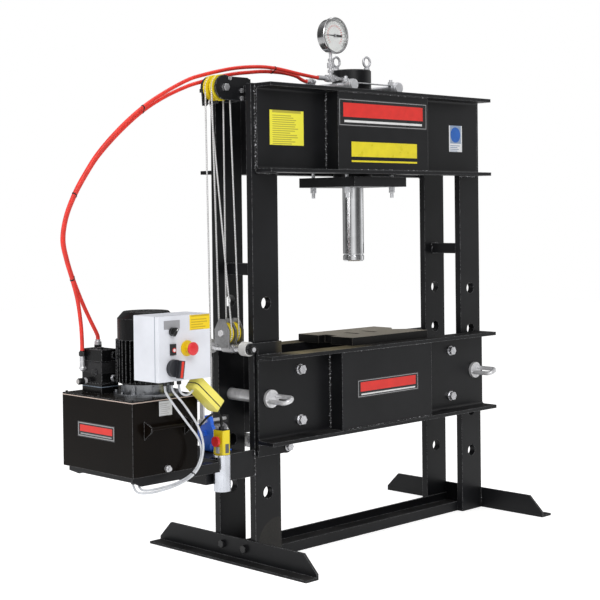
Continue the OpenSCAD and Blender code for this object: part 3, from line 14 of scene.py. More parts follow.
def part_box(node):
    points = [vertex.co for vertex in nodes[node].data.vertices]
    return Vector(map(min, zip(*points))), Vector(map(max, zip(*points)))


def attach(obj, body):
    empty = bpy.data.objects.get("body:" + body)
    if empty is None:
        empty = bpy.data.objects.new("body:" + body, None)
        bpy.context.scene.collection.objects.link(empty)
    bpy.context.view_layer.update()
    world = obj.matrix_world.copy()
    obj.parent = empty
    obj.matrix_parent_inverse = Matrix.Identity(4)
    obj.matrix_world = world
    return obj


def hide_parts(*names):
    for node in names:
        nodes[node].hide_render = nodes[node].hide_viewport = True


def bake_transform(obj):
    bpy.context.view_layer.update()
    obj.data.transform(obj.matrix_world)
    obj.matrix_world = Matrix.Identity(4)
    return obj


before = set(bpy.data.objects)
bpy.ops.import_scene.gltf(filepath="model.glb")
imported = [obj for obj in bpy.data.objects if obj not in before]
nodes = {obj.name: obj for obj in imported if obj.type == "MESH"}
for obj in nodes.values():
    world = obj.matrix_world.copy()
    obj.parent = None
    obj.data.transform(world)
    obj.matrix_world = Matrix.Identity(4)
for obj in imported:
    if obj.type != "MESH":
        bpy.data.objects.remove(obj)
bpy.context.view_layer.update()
scene = bpy.context.scene
mm = 1000.0  # millimetres in a metre


def dress(finishes):
    for name, material in finishes.items():
        nodes[name].data.materials.clear()
        nodes[name].data.materials.append(material)


print("loaded", len(nodes), "solids")

# %% [markdown]
# ## The camera
# A product is shown from far off through a long lens, a little above the middle of the machine.
# The camera's place and axes were fitted to straight edges and bolt holes, so they are stated as vectors.
# A shifted lens keeps the uprights parallel, which a tilted camera would not.

# %% Camera
camera_place = Vector((-4.67976, -4.35301, 1.47092))
camera_right = Vector((0.70874, -0.70538, -0.01129))
camera_up = Vector((0.01901, 0.00310, 0.99981))
camera_back = camera_right.cross(camera_up)
lens_data = bpy.data.cameras.new("studio_camera")
lens_data.sensor_width = 36.0
lens_data.lens = 82.71
lens_data.shift_x = -0.0023
lens_data.shift_y = -0.1094
lens_data.clip_end = 60.0
camera = bpy.data.objects.new("studio_camera", lens_data)
turned = Matrix((camera_right, camera_up, camera_back)).transposed()
camera.matrix_world = Matrix.Translation(camera_place) @ turned.to_4x4()
scene.collection.objects.link(camera)
scene.camera = camera
print("camera at", tuple(round(v, 3) for v in camera_place))

# %% [markdown]
# ## Shader maths
# A material is a graph, and a graph is easier to read as a sum than as a list of wires.
# One small class wraps a socket: plus, minus and times add a Math node, and one method adds any other node.
# Some solids carry two finishes, such as a painted bracket with bare nuts. A zone is a mask for that:
# it is one inside a box, a ring or a strip, or near a plane, and nought elsewhere. Zones are in millimetres.

# %% A socket that can be added and multiplied


class Signal:
    def __init__(self, tree, socket):
        self.tree = tree
        self.socket = socket

    def node(self, kind, settings, inputs, out=0):
        made = self.tree.nodes.new("ShaderNode" + kind)
        for name, value in settings.items():
            setattr(made, name, value)
        for key, value in inputs.items():
            if isinstance(value, Signal):
                self.tree.links.new(value.socket, made.inputs[key])
            else:
                made.inputs[key].default_value = value
        return Signal(self.tree, made.outputs[out])

    def math(self, operation, first, second=0.0):
        return self.node("Math", {"operation": operation}, {0: first, 1: second})

    def __add__(self, other):
        return self.math("ADD", self, other)

    __radd__ = __add__

    def __mul__(self, other):
        return self.math("MULTIPLY", self, other)

    __rmul__ = __mul__

    def __sub__(self, other):
        return self.math("SUBTRACT", self, other)

    def __rsub__(self, other):
        return self.math("SUBTRACT", other, self)

    def __truediv__(self, other):
        return self.math("DIVIDE", self, other)

    def over(self, edge):
        return self.math("GREATER_THAN", self, edge)

    def ramp(self, low, high):
        return self.node("MapRange", {}, {"Value": self, "From Min": low, "From Max": high})

    def colours(self, first, second):
        ends = {6: first if isinstance(first, Signal) else (*first, 1.0)}
        ends[7] = second if isinstance(second, Signal) else (*second, 1.0)
        return self.node("Mix", {"data_type": "RGBA"}, {0: self, **ends}, 2)

    def noise(self, scale, detail=3.0):
        return self.node("TexNoise", {}, {"Vector": self, "Scale": scale, "Detail": detail})

    def bump(self, strength, depth, normal=None):
        inputs = {"Height": self, "Strength": strength, "Distance": depth}
        if normal is not None:
            inputs["Normal"] = normal
        return self.node("Bump", {}, inputs)

    def feed(self, shader, socket):
        self.tree.links.new(self.socket, shader.inputs[socket])


print("signals ready")

# %% Starting a finish, edges and upper faces


def new_finish(name, constants):
    material = bpy.data.materials.new(name)
    material.use_nodes = True
    tree = material.node_tree
    shader = tree.nodes["Principled BSDF"]
    for socket, value in constants.items():
        shader.inputs[socket].default_value = value
    place = Signal(tree, tree.nodes.new("ShaderNodeTexCoord").outputs["Object"])
    return material, shader, place


def axis_of(vector, index):
    return vector.node("SeparateXYZ", {}, {0: vector}, index)


def flat_normal(place):
    return Signal(place.tree, place.tree.nodes.new("ShaderNodeNewGeometry").outputs["Normal"])


def edge_mask(place, radius):
    rounded = place.node("Bevel", {"samples": 6}, {"Radius": radius})
    match = place.node("VectorMath", {"operation": "DOT_PRODUCT"}, {0: rounded, 1: flat_normal(place)}, 1)
    return rounded, (1.0 - match).ramp(0.015, 0.2)


def facing_up(place):
    return axis_of(flat_normal(place), 2).ramp(0.6, 1.0)


print("finish helpers ready")

# %% Zones


def box_zone(low, high):
    def mask(place):
        share = 1.0
        for index in range(3):
            part = axis_of(place, index)
            share = part.over(low[index] / mm) * (1.0 - part.over(high[index] / mm)) * share
        return share
    return mask


def slab_zone(facing, middle, half):
    def mask(place):
        reach = axis_of(place, 0) * facing[0] + axis_of(place, 1) * facing[1] + axis_of(place, 2) * facing[2]
        offset = reach - sum(a * b for a, b in zip(facing, middle)) / mm
        return 1.0 - offset.math("ABSOLUTE", offset).over(half / mm)
    return mask


def soft_strip(start, full, fade, stop, height):
    def mask(place):
        across = axis_of(place, 0)
        ends = across.ramp(start / mm, full / mm) * (1.0 - across.ramp(fade / mm, stop / mm))
        return ends * axis_of(place, 2).over(height / mm)
    return mask


def ring_zone(middle, inner, outer):
    def mask(place):
        across = axis_of(place, 0) - middle[0] / mm
        up = axis_of(place, 2) - middle[2] / mm
        reach = across * across + up * up
        ring = reach.over((inner / mm) ** 2) * (1.0 - reach.over((outer / mm) ** 2))
        return ring * (1.0 - axis_of(place, 1).over(middle[1] / mm))
    return mask


def between(value, low, high):
    return (value - low).over(0.0) * (high - value).over(0.0)


print("zones ready")

# %% [markdown]
# ## Black machine paint
# The frame, tank and motor are sprayed in one satin black, thick enough to round the edges of the steel.
# A Bevel node bends the normal at each edge, so that the edges catch the light as sprayed edges do.
# Patchy roughness, a faint orange peel and a little dust on the upper faces keep it from looking like a void.

# %% Black paint
deep_black = (0.012, 0.012, 0.013)
cold_black = (0.0072, 0.0074, 0.0084)
warm_black = (0.0040, 0.0029, 0.0022)
motor_black = (0.0046, 0.0046, 0.0050)
dust_grey = (0.085, 0.082, 0.078)
bare_edge_and_highlight = (0.30, 0.304, 0.316)
nut_zinc = (0.66, 0.66, 0.68)


def black_paint(name, dust, rough, shade, shine=0.24, plated=(), rubbed=()):
    material, shader, place = new_finish(name, {"Specular IOR Level": shine})
    rounded, edges = edge_mask(place, 0.004)
    cloud = place.noise(5.0, 4.0)
    grit = place.noise(160.0, 2.0)
    peel = place.noise(700.0, 2.0)
    pale = tuple(1.6 * part for part in shade)
    base = cloud.ramp(0.35, 0.7).colours(shade, pale)
    settled = facing_up(place) * cloud.ramp(0.3, 0.65) * dust
    # The edges are painted a pale grey: partly worn steel, partly a painted highlight.
    wear_and_highlight = edges * grit.ramp(0.38, 0.56) * 0.8
    colour = wear_and_highlight.colours(settled.colours(base, dust_grey), bare_edge_and_highlight)
    rough_map = cloud * 0.16 + grit * 0.1 + (rough - 0.12) + settled * 0.25
    for zone, steel in rubbed:
        bare = zone(place) * (cloud * 0.6 + grit * 0.4).ramp(0.2, 0.6)
        colour = bare.colours(colour, steel)
    for zone in plated:
        bright = zone(place)
        colour = bright.colours(colour, nut_zinc)
        bright.feed(shader, "Metallic")
    colour.feed(shader, "Base Color")
    rough_map.feed(shader, "Roughness")
    (peel * 0.6 + grit * 0.4).bump(0.1, 0.0006, rounded).feed(shader, "Normal")
    return material


print("black paint ready")

# %% Paint the frame, tank and motor
flange_bronze = (0.29, 0.24, 0.13)
scuff_grey = (0.026, 0.024, 0.021)
gasket_blue = (0.30, 0.37, 0.46)
cast_grey = (0.030, 0.030, 0.032)
# A bronze-brown band is painted along the top of the bed's flange, fading out at its ends.
bed_flange = soft_strip(-660, -560, -360, -100, 876)
bracket_nuts = box_zone((-1000, -90, 1800), (-740, -48.1, 2150))
scuffed_foot = ring_zone((-640, -100, 70), 0.0, 110.0)
frame_paint = black_paint("frame_paint", 0.3, 0.34, cold_black, rubbed=[(scuffed_foot, scuff_grey)])
bed_paint = black_paint("bed_paint", 0.3, 0.34, cold_black, rubbed=[(bed_flange, flange_bronze)])
hoist_paint = black_paint("hoist_paint", 0.25, 0.36, cold_black, plated=[bracket_nuts])
tank_paint = black_paint("tank_paint", 0.2, 0.18, warm_black, shine=0.075)
motor_paint = black_paint("motor_paint", 0.15, 0.22, motor_black, shine=0.17)
valve_low, valve_high = (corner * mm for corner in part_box("valve_block"))
valve_base = valve_low.z
valve_seam = box_zone((-1600, -500, valve_base + 25.0), (-1000, 500, valve_base + 28.5))
valve_middle = box_zone((-1600, -500, valve_base + 80.0), (-1000, 500, valve_base + 127.0))
valve_paint = black_paint("valve_paint", 0.15, 0.22, motor_black, shine=0.24,
                          rubbed=[(valve_middle, cast_grey), (valve_seam, gasket_blue)])
dress({
    "left_side_frame": frame_paint, "right_side_frame": frame_paint, "head_channels": frame_paint,
    "bed_channels": bed_paint, "feet": frame_paint, "base_tie": frame_paint, "carriage_plate": frame_paint,
    "press_cylinder": frame_paint, "pack_bracket": frame_paint, "hoist_bracket": hoist_paint,
    "oil_tank": tank_paint, "tank_lid": tank_paint, "motor_body": motor_paint, "motor_cowl": motor_paint,
    "valve_block": valve_paint})
print("black paint on the frame, tank and motor")

# %% [markdown]
# ## Bare and plated metal
# Pins, bolts and fittings are zinc plated, the ram is hard chrome, and the pump flange is cast aluminium.
# They differ in roughness and in the size of their grain, so one function takes those as values.
# A few nuts and screws on plated solids are black, and a zone paints them.

# %% Metals


def metal(name, shade, rough, grain, bump, stretch=(1.0, 1.0, 1.0), bare=1.0, painted=()):
    material, shader, place = new_finish(name, {"Metallic": bare})
    drawn = place.node("Mapping", {}, {"Vector": place, "Scale": stretch})
    streak = drawn.noise(grain, 4.0)
    cloud = place.noise(14.0, 3.0)
    rounded, edges = edge_mask(place, 0.0012)
    dim = tuple(0.68 * part for part in shade)
    pale = tuple(min(1.0, 1.4 * part) for part in shade)
    body = (cloud * 0.5 + streak * 0.5).ramp(0.35, 0.65).colours(dim, shade)
    # The edges are painted paler than the body, a painted highlight.
    colour = (edges * 0.7).colours(body, pale)
    shown = bare
    for zone, paint in painted:
        covered = zone(place)
        colour = covered.colours(colour, paint)
        shown = (1.0 - covered) * shown
    if painted:
        shown.feed(shader, "Metallic")
    colour.feed(shader, "Base Color")
    (streak * 0.18 + cloud * 0.1 + (rough - 0.14)).feed(shader, "Roughness")
    streak.bump(bump, 0.0004, rounded).feed(shader, "Normal")
    return material


def zinc_finish(name, painted=()):
    return metal(name, (0.80, 0.80, 0.83), 0.27, 60.0, 0.015, bare=0.7, painted=painted)


print("metals ready")

# %% Zones on plated solids
guide_nut = ring_zone((-795, -140, 905), 9.8, 32.0)
lid_screws = box_zone((-1500, -235, 765), (-1150, 235, 780))
foot_bolts = box_zone((-1000, -500, 0), (1000, 500, 200))
ends_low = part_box("pump_fittings")[0] * mm
plug_x, plug_y, plug_z = (valve_low.x + valve_high.x) / 2 + 16.0, valve_low.y, valve_base + 60.0
hose_end = box_zone((ends_low.x - 5, -500, valve_base + 144), (ends_low.x + 27, 500, valve_base + 400))
plug_bore = box_zone((plug_x - 7, plug_y - 10, plug_z - 7), (plug_x + 7, plug_y + 0.4, plug_z + 7))
sheave_low, sheave_high = (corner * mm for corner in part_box("left_sheave"))
plate_reach = 14.4
nut_r = 15
axle_y, axle_z = (sheave_low.y + sheave_high.y) / 2, (sheave_low.z + sheave_high.z) / 2
axle_nut = box_zone((-1000, axle_y - nut_r, axle_z - nut_r),
                    (sheave_low.x - plate_reach, axle_y + nut_r, axle_z + nut_r))
print("nuts, screws and hose end marked")

# %% Plate and polish the metals
screw_black = (0.014, 0.014, 0.015)
zinc_plate = zinc_finish("zinc_plate")
ends_plate = zinc_finish("ends_plate", [(hose_end, deep_black), (plug_bore, deep_black)])
tie_plate = zinc_finish("tie_plate", [(guide_nut, deep_black)])
bolt_plate = zinc_finish("bolt_plate", [(lid_screws, screw_black), (foot_bolts, deep_black)])
axle_steel = metal("axle_steel", (0.86, 0.87, 0.90), 0.3, 50.0, 0.01, bare=0.6)
block_steel = metal("block_steel", (0.46, 0.46, 0.47), 0.34, 120.0, 0.06, bare=0.8,
                    painted=[(axle_nut, (0.80, 0.80, 0.82))])
pin_steel = metal("pin_steel", (0.88, 0.88, 0.90), 0.34, 50.0, 0.012, bare=0.4)
hard_chrome = metal("hard_chrome", (0.88, 0.89, 0.91), 0.14, 120.0, 0.01, (1.0, 1.0, 0.02))
drawn_tube = metal("drawn_tube", (0.82, 0.85, 0.92), 0.26, 160.0, 0.03, (1.0, 1.0, 0.03))
cast_metal = metal("cast_metal", (0.34, 0.35, 0.37), 0.3, 260.0, 0.2)
gauge_metal = metal("gauge_metal", (0.60, 0.60, 0.61), 0.16, 40.0, 0.01)
dress({
    "bed_ties": tie_plate, "fasteners": bolt_plate, "carriage_hanger": axle_steel, "left_rollers": axle_steel,
    "right_rollers": axle_steel, "cylinder_fittings": zinc_plate, "pump_fittings": ends_plate,
    "lower_block": block_steel, "winch_drum": zinc_plate, "winch_crank": pin_steel, "left_pin": pin_steel,
    "right_pin": pin_steel, "ram": hard_chrome, "pendant_tube": drawn_tube, "bell_housing": cast_metal,
    "gauge_case": gauge_metal})
print("metal on the pins, bolts and fittings")

# %% [markdown]
# ## Coloured paint and moulded plastic
# The control box is powder coated, the sheaves and the hand controls are yellow, and the winch is blue.
# Powder coat has a fine even texture, and moulded plastic is smoother with a soft shine.

# %% Coloured finishes


def coloured(name, shade, rough, grain, bump, coat, marks=()):
    material, shader, place = new_finish(name, {"Coat Weight": coat, "Specular IOR Level": 0.4})
    rounded, edges = edge_mask(place, 0.002)
    cloud = place.noise(9.0, 4.0)
    grit = place.noise(grain, 2.0)
    dim = tuple(0.88 * part for part in shade)
    pale = tuple(min(1.0, 0.2 + 0.8 * part) for part in shade)
    body = cloud.ramp(0.3, 0.7).colours(dim, shade)
    # The edges are painted paler than the body, a painted highlight.
    colour = (edges * 0.3).colours(body, pale)
    for zone, ink in marks:
        colour = zone(place).colours(colour, ink)
    colour.feed(shader, "Base Color")
    (cloud * 0.1 + grit * 0.12 + (rough - 0.1)).feed(shader, "Roughness")
    grit.bump(bump, 0.0004, rounded).feed(shader, "Normal")
    return material


print("coloured finishes ready")

# %% Zones on coloured solids
lamp_body = box_zone((-1409, -375, 942), (-1379, -350, 988))
selector_plate = box_zone((-1440, -375, 1041), (-1350, -350, 1075))
stop_neck = box_zone((-1337, -387.2, 952), (-1311, -320, 978))
winch_side = box_zone((-839, -200, 480), (-700, 200, 700))
cable_sleeve = box_zone((-1010, -200, 595.2), (-950, -130, 640))
# A thin band on the box's side, where the door meets it, is painted bluish grey as painted shade in the gap.
door_gap_shade = box_zone((-1470, -341, 840), (-1200, -337, 1100))
shell_slope = math.radians(42.0)
shell_facing = (math.sin(shell_slope), 0.0, math.cos(shell_slope))
seam_drop = 6.0
seam_place = (-1176.5 - seam_drop * shell_facing[0], -290, 770.9 - seam_drop * shell_facing[2])
shell_seam = slab_zone(shell_facing, seam_place, 2.2)
knob_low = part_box("relief_knob")[0].x * mm
knob_stem = box_zone((knob_low + 27.0, -500, 0), (knob_low + 60.0, 500, 2000))
knob_end = box_zone((knob_low - 5.0, -500, 0), (knob_low + 0.4, 500, 2000))
print("seams and two-coloured parts marked")

# %% Colour the box, winch, sheaves and controls
gap_shade_grey = (0.34, 0.37, 0.44)
plate_grey = (0.34, 0.34, 0.36)
neck_yellow = (0.92, 0.69, 0.02)
stem_bright = (0.62, 0.62, 0.64)
end_grey = (0.42, 0.40, 0.39)
box_grey = coloured("box_grey", (0.82, 0.84, 0.90), 0.36, 420.0, 0.1, 0.0, [(door_gap_shade, gap_shade_grey)])
sheave_yellow = coloured("sheave_yellow", (0.95, 0.75, 0.02), 0.38, 200.0, 0.1, 0.1)
pendant_yellow = coloured("pendant_yellow", (0.95, 0.76, 0.015), 0.3, 300.0, 0.05, 0.2,
                          [(cable_sleeve, deep_black)])
shell_yellow = coloured("shell_yellow", (0.97, 0.86, 0.16), 0.3, 300.0, 0.05, 0.2, [(shell_seam, deep_black)])
fittings_yellow = coloured("fittings_yellow", (0.92, 0.66, 0.015), 0.32, 300.0, 0.04, 0.1,
                           [(lamp_body, deep_black), (selector_plate, plate_grey)])
winch_blue = coloured("winch_blue", (0.036, 0.19, 0.96), 0.3, 220.0, 0.08, 0.2, [(winch_side, deep_black)])
button_red = coloured("button_red", (0.80, 0.03, 0.03), 0.28, 300.0, 0.03, 0.2)
stop_red = coloured("stop_red", (0.80, 0.035, 0.04), 0.28, 300.0, 0.03, 0.2, [(stop_neck, neck_yellow)])
button_grey = coloured("button_grey", (0.42, 0.44, 0.48), 0.4, 300.0, 0.05, 0.0)
plastic_black = coloured("plastic_black", deep_black, 0.38, 300.0, 0.08, 0.0)
knob_black = coloured("knob_black", deep_black, 0.38, 300.0, 0.08, 0.0,
                      [(knob_stem, stem_bright), (knob_end, end_grey)])
isolator_grey = coloured("isolator_grey", (0.026, 0.028, 0.034), 0.36, 300.0, 0.06, 0.0)
roller_white = coloured("roller_white", (0.76, 0.76, 0.75), 0.45, 150.0, 0.06, 0.0)
gasket_cream = coloured("gasket_cream", (0.70, 0.55, 0.47), 0.7, 120.0, 0.15, 0.0)
dress({
    "control_box": box_grey, "control_door": box_grey, "rear_sheave": sheave_yellow,
    "front_sheave": sheave_yellow, "left_sheave": sheave_yellow, "right_sheave": sheave_yellow,
    "door_fittings": fittings_yellow, "pendant_body": pendant_yellow, "second_control": shell_yellow,
    "winch_frame": winch_blue, "emergency_stop": stop_red, "pendant_stop": button_red,
    "pendant_button": button_grey, "gauge_needle": plastic_black, "selector_knob": plastic_black,
    "isolator_handle": isolator_grey, "relief_knob": knob_black, "cable_glands": plastic_black,
    "upper_guide_rollers": roller_white, "lower_guide_rollers": roller_white, "lid_gasket": gasket_cream})
print("colours on the box, winch, sheaves and controls")

# %% [markdown]
# ## Bolster plates
# The two loose plates are flame cut and black at the edges, but work has rubbed their tops to a brown grey.
# The wear is a mask: it grows on faces that look up, and noise breaks it into patches and long scratches.

# %% Worn plate finish


def worn_plate():
    material, shader, place = new_finish("worn_plate", {"Specular IOR Level": 0.2})
    rounded, edges = edge_mask(place, 0.003)
    cloud = place.noise(12.0, 5.0)
    long_scratch = place.node("Mapping", {}, {"Vector": place, "Scale": (1.0, 0.06, 1.0)}).noise(260.0, 2.0)
    rubbed = facing_up(place) * cloud.ramp(0.05, 0.42)
    base = cloud.ramp(0.3, 0.7).colours((0.0045, 0.0045, 0.005), (0.010, 0.0095, 0.009))
    bare = long_scratch.ramp(0.3, 0.7).colours((0.42, 0.38, 0.31), (0.60, 0.55, 0.47))
    (rubbed * 0.9 + edges * 0.3).colours(base, bare).feed(shader, "Base Color")
    (rubbed * 0.4).feed(shader, "Metallic")
    (cloud * 0.25 + 0.28).feed(shader, "Roughness")
    (long_scratch * 0.5 + cloud * 0.5).bump(0.1, 0.0008, rounded).feed(shader, "Normal")
    return material


dress({"bolster_plates": worn_plate()})
print("worn tops on the bolster plates")

# %% [markdown]
# ## Wire rope
# The hoist rope is laid from bright strands that wind round each other.
# The strands are too fine to model, so a slanted wave on the object's own coordinates raises them as a bump.

# %% Rope finish


def wire_rope():
    material, shader, place = new_finish("wire_rope", {"Metallic": 0.55, "Specular IOR Level": 0.5})
    lay = axis_of(place, 2) * 900.0 + axis_of(place, 1) * 700.0 + axis_of(place, 0) * 700.0
    strand = lay.math("SINE", lay) * 0.5 + 0.5
    # The grooves between the strands are painted darker than their crowns: painted shade.
    strand.colours((0.42, 0.42, 0.43), (0.86, 0.86, 0.85)).feed(shader, "Base Color")
    (place.noise(60.0) * 0.2 + 0.32).feed(shader, "Roughness")
    strand.bump(0.5, 0.0008).feed(shader, "Normal")
    return material


dress({"hoist_rope": wire_rope()})
print("rope strands")

# %% [markdown]
# ## Hoses and cables
# A hose is a round tube along a smooth line, so it is drawn as a line first and given its thickness after.
# The route's points are the ones that the solids follow. A spline through them is cut into short steps,
# a curve with a round bevel is laid along the steps, and the curve becomes a mesh.

# %% Routes, in millimetres
supply_route = [
    (-258, -24, 2076), (-272, -24, 2076), (-316, -22, 2080), (-375, -16, 2087), (-440, -10, 2096),
    (-505, -4, 2103), (-570, 2, 2105), (-640, 10, 2101), (-715, 20, 2092), (-790, 30, 2077),
    (-870, 40, 2057), (-950, 50, 2032), (-1060, 65, 1977), (-1170, 80, 1909), (-1275, 95, 1823),
    (-1370, 110, 1725), (-1430, 120, 1642), (-1480, 130, 1556), (-1515, 140, 1465), (-1528, 146, 1375),
    (-1508, 150, 1295), (-1481, 150, 1216), (-1457, 150, 1135), (-1443, 150, 1045), (-1438, 150, 975),
    (-1438, 150, 932)]
return_route = [
    (-245, 60, 2066), (-257, 60, 2066), (-284, 57, 2073), (-318, 50, 2083), (-395, 36, 2090),
    (-485, 20, 2090), (-555, 26, 2088), (-620, 34, 2081), (-690, 42, 2072), (-765, 52, 2057),
    (-865, 64, 2029), (-945, 72, 2004), (-1055, 86, 1955), (-1160, 100, 1892), (-1265, 114, 1806),
    (-1357, 129, 1712), (-1415, 139, 1632), (-1464, 149, 1548), (-1498, 159, 1462), (-1510, 164, 1375),
    (-1491, 168, 1295), (-1463, 168, 1216), (-1426, 165, 1128), (-1390, 160, 1052), (-1371, 154.5, 1012),
    (-1362, 151, 990), (-1360, 150, 979), (-1360, 150, 972)]
motor_route = [
    (-1373, -287, 820.7), (-1373, -287, 811), (-1367, -287, 792), (-1335, -285, 751), (-1294, -282, 705),
    (-1262, -280, 669), (-1233, -278, 637), (-1206, -276, 606), (-1190, -274, 576), (-1184, -273, 547),
    (-1188, -272, 519), (-1203, -271, 490), (-1229, -270, 466), (-1270, -268, 448), (-1322, -264, 436),
    (-1370, -255, 429), (-1398, -240, 424), (-1414, -223, 421), (-1421, -207, 420), (-1423.3, -195, 424),
    (-1424, -187.5, 431.5), (-1424, -183, 439.5), (-1424, -183, 445)]
valve_route = [
    (-1339, -287, 820.7), (-1339, -287, 812), (-1332, -289, 793), (-1291, -291, 749), (-1253, -291, 703),
    (-1219, -290, 658), (-1199, -289, 620), (-1187, -287, 582), (-1185, -285, 551), (-1192, -284, 517),
    (-1206, -283, 489), (-1231, -282, 465), (-1270, -280, 446), (-1324, -277, 431), (-1377, -268, 422),
    (-1416, -250, 416), (-1438, -229, 414), (-1446.5, -210, 415), (-1448.5, -196, 421),
    (-1449, -187.5, 430.5), (-1449, -183, 439), (-1449, -183, 445)]
second_route = [
    (-1304, -287, 820.7), (-1304, -287, 811.2), (-1301.2, -287.4, 797.5), (-1293.3, -288, 785.9),
    (-1281.4, -288.6, 778.4), (-1267.6, -289.2, 776.1), (-1254, -289.7, 779.3), (-1242.7, -290, 787.7),
    (-1238.4, -290, 792.55)]
pendant_route = [
    (-981, -163.3, 608), (-981, -163.3, 622), (-984, -165, 640), (-994, -168, 655), (-1012, -170, 664),
    (-1034, -171, 665), (-1056, -168, 656), (-1074, -158, 638), (-1086, -142, 614), (-1096, -125, 592),
    (-1108, -111, 574), (-1122, -102.5, 564), (-1135, -100, 560), (-1146, -100, 560)]
print("two hose routes and four cable routes")

# %% Rubber


def rubber(name, shade, rough):
    material, shader, place = new_finish(name, {"Specular IOR Level": 0.4})
    cloud = place.noise(30.0, 3.0)
    grit = place.noise(500.0, 2.0)
    dim = tuple(0.8 * part for part in shade)
    cloud.ramp(0.35, 0.65).colours(dim, shade).feed(shader, "Base Color")
    (grit * 0.2 + (rough - 0.1)).feed(shader, "Roughness")
    grit.bump(0.15, 0.0004).feed(shader, "Normal")
    return material


hose_red = rubber("hose_red", (0.86, 0.045, 0.03), 0.36)
cable_grey = rubber("cable_grey", (0.72, 0.74, 0.78), 0.42)
cable_black = rubber("cable_black", (0.012, 0.012, 0.012), 0.45)
print("rubber for the hoses and cables")

# %% Smooth lines and tubes


def smooth_line(route, steps):
    points = [Vector(point) / mm for point in route]
    ends = [2 * points[0] - points[1]] + points + [2 * points[-1] - points[-2]]
    line = []
    for before, start, stop, after in zip(ends, ends[1:], ends[2:], ends[3:]):
        for step in range(steps):
            t = step / steps
            lead = (stop - before) * t + (2 * before - 5 * start + 4 * stop - after) * t * t
            line.append(start + (lead + (3 * start - before - 3 * stop + after) * t * t * t) / 2)
    line.append(points[-1])
    return line


def line_length(line):
    return sum((b - a).length for a, b in zip(line, line[1:]))


def tube(name, line, radius, material):
    data = bpy.data.curves.new(name + "_line", "CURVE")
    data.dimensions = "3D"
    data.bevel_depth = radius
    data.bevel_resolution = 4
    data.use_fill_caps = True
    spline = data.splines.new("POLY")
    spline.points.add(len(line) - 1)
    for point, place in zip(spline.points, line):
        point.co = (*place, 1.0)
    drawn = bpy.data.objects.new(name + "_line", data)
    scene.collection.objects.link(drawn)
    shape = bpy.data.meshes.new_from_object(drawn.evaluated_get(bpy.context.evaluated_depsgraph_get()))
    bpy.data.objects.remove(drawn)
    piece = bpy.data.objects.new(name, shape)
    shape.materials.clear()
    shape.materials.append(material)
    for face in shape.polygons:
        face.use_smooth = True
    scene.collection.objects.link(piece)
    return piece


print("tube maker ready")

# %% Lay the hoses and the cables
line_steps = 8
hose_d = 0.016
cable_d = 0.009
cords = {}
for name, route, diameter, material in (
        ("supply_hose", supply_route, hose_d, hose_red), ("return_hose", return_route, hose_d, hose_red),
        ("motor_cable", motor_route, cable_d, cable_grey), ("valve_cable", valve_route, cable_d, cable_grey),
        ("second_cable", second_route, cable_d, cable_grey),
        ("pendant_cable", pendant_route, cable_d, cable_black)):
    line = smooth_line(route, line_steps)
    piece = tube(name + "_tube", line, diameter / 2, material)
    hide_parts(name)
    line_length(line)
    cords[name] = (piece, line)
for name in ("supply_hose", "return_hose"):
    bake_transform(cords[name][0])
for name in ("motor_cable", "valve_cable", "second_cable", "pendant_cable"):
    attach(cords[name][0], "frame")
print("cords", {name: round(line_length(line), 2) for name, (piece, line) in cords.items()})

# %% [markdown]
# ## Making small pieces
# Plates, beads and bands are small meshes of their own. A cube that is scaled and bevelled makes any plate,
# and each finished piece rides on the body of the machine that carries it.

# %% Piece helpers


def keep_piece(shape, name, material, body, smooth=False):
    mesh = bpy.data.meshes.new(name)
    shape.to_mesh(mesh)
    shape.free()
    mesh.materials.append(material)
    for face in mesh.polygons:
        face.use_smooth = smooth
    piece = bpy.data.objects.new(name, mesh)
    scene.collection.objects.link(piece)
    if body is not None:
        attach(piece, body)
    return piece


def plate(low, high, edge, shape=None):
    shape = shape or bmesh.new()
    low = Vector(low) / mm
    high = Vector(high) / mm
    made = bmesh.ops.create_cube(shape, size=1.0)["verts"]
    bmesh.ops.scale(shape, vec=high - low, verts=made)
    bmesh.ops.translate(shape, vec=(low + high) / 2, verts=made)
    edges = list({line for point in made for line in point.link_edges})
    bmesh.ops.bevel(shape, geom=edges, offset=edge / mm, offset_type="OFFSET", affect="EDGES", segments=2,
                    profile=0.5, material=-1)
    return shape


def disc_at(place, radius, depth, segments=64):
    shape = bmesh.new()
    bmesh.ops.create_cone(shape, cap_ends=True, segments=segments, radius1=radius, radius2=radius,
                          depth=depth)
    bmesh.ops.rotate(shape, cent=(0, 0, 0), matrix=Matrix.Rotation(math.pi / 2, 3, "X"), verts=shape.verts)
    bmesh.ops.translate(shape, vec=place, verts=shape.verts)
    return shape


def laid(place, along):
    return Matrix.Translation(place) @ along.to_track_quat("Z", "Y").to_matrix().to_4x4()


print("piece helpers ready")

# %% Printed colours


def flat_print(name, shade, rough):
    material, shader, place = new_finish(name, {"Specular IOR Level": 0.45})
    cloud = place.noise(25.0, 3.0)
    dim = tuple(0.88 * part for part in shade)
    cloud.ramp(0.3, 0.7).colours(dim, shade).feed(shader, "Base Color")
    (cloud * 0.15 + (rough - 0.08)).feed(shader, "Roughness")
    place.noise(400.0).bump(0.03, 0.0003).feed(shader, "Normal")
    return material


sign_black = flat_print("sign_black", deep_black, 0.3)
sign_white = flat_print("sign_white", (0.82, 0.82, 0.82), 0.35)
sign_grey = flat_print("sign_grey", (0.36, 0.36, 0.37), 0.35)
sign_red = flat_print("sign_red", (0.80, 0.032, 0.024), 0.32)
print("four printed colours")

# %% [markdown]
# ## Sign plates
# The head, the bed and the tank each carry a sign: a black plate with a grey line round it,
# a plain red field and a thin bar under it. Each part is a thin plate of its own, set a hair off the steel
# or into the board, so that no two faces share a plane.

# %% Signs on the head and the bed
board_front, board_back, board_edge = 1.2, 0.05, 0.3
print_front, print_back, film_edge = 1.6, 1.15, 0.1
rim_gap, rim_wide = 5.0, 3.0


def rim_strips(left, right, foot, top, wide):
    return [(left, top - wide, right, top), (left, foot, right, foot + wide),
            (left, foot + wide, left + wide, top - wide), (right - wide, foot + wide, right, top - wide)]


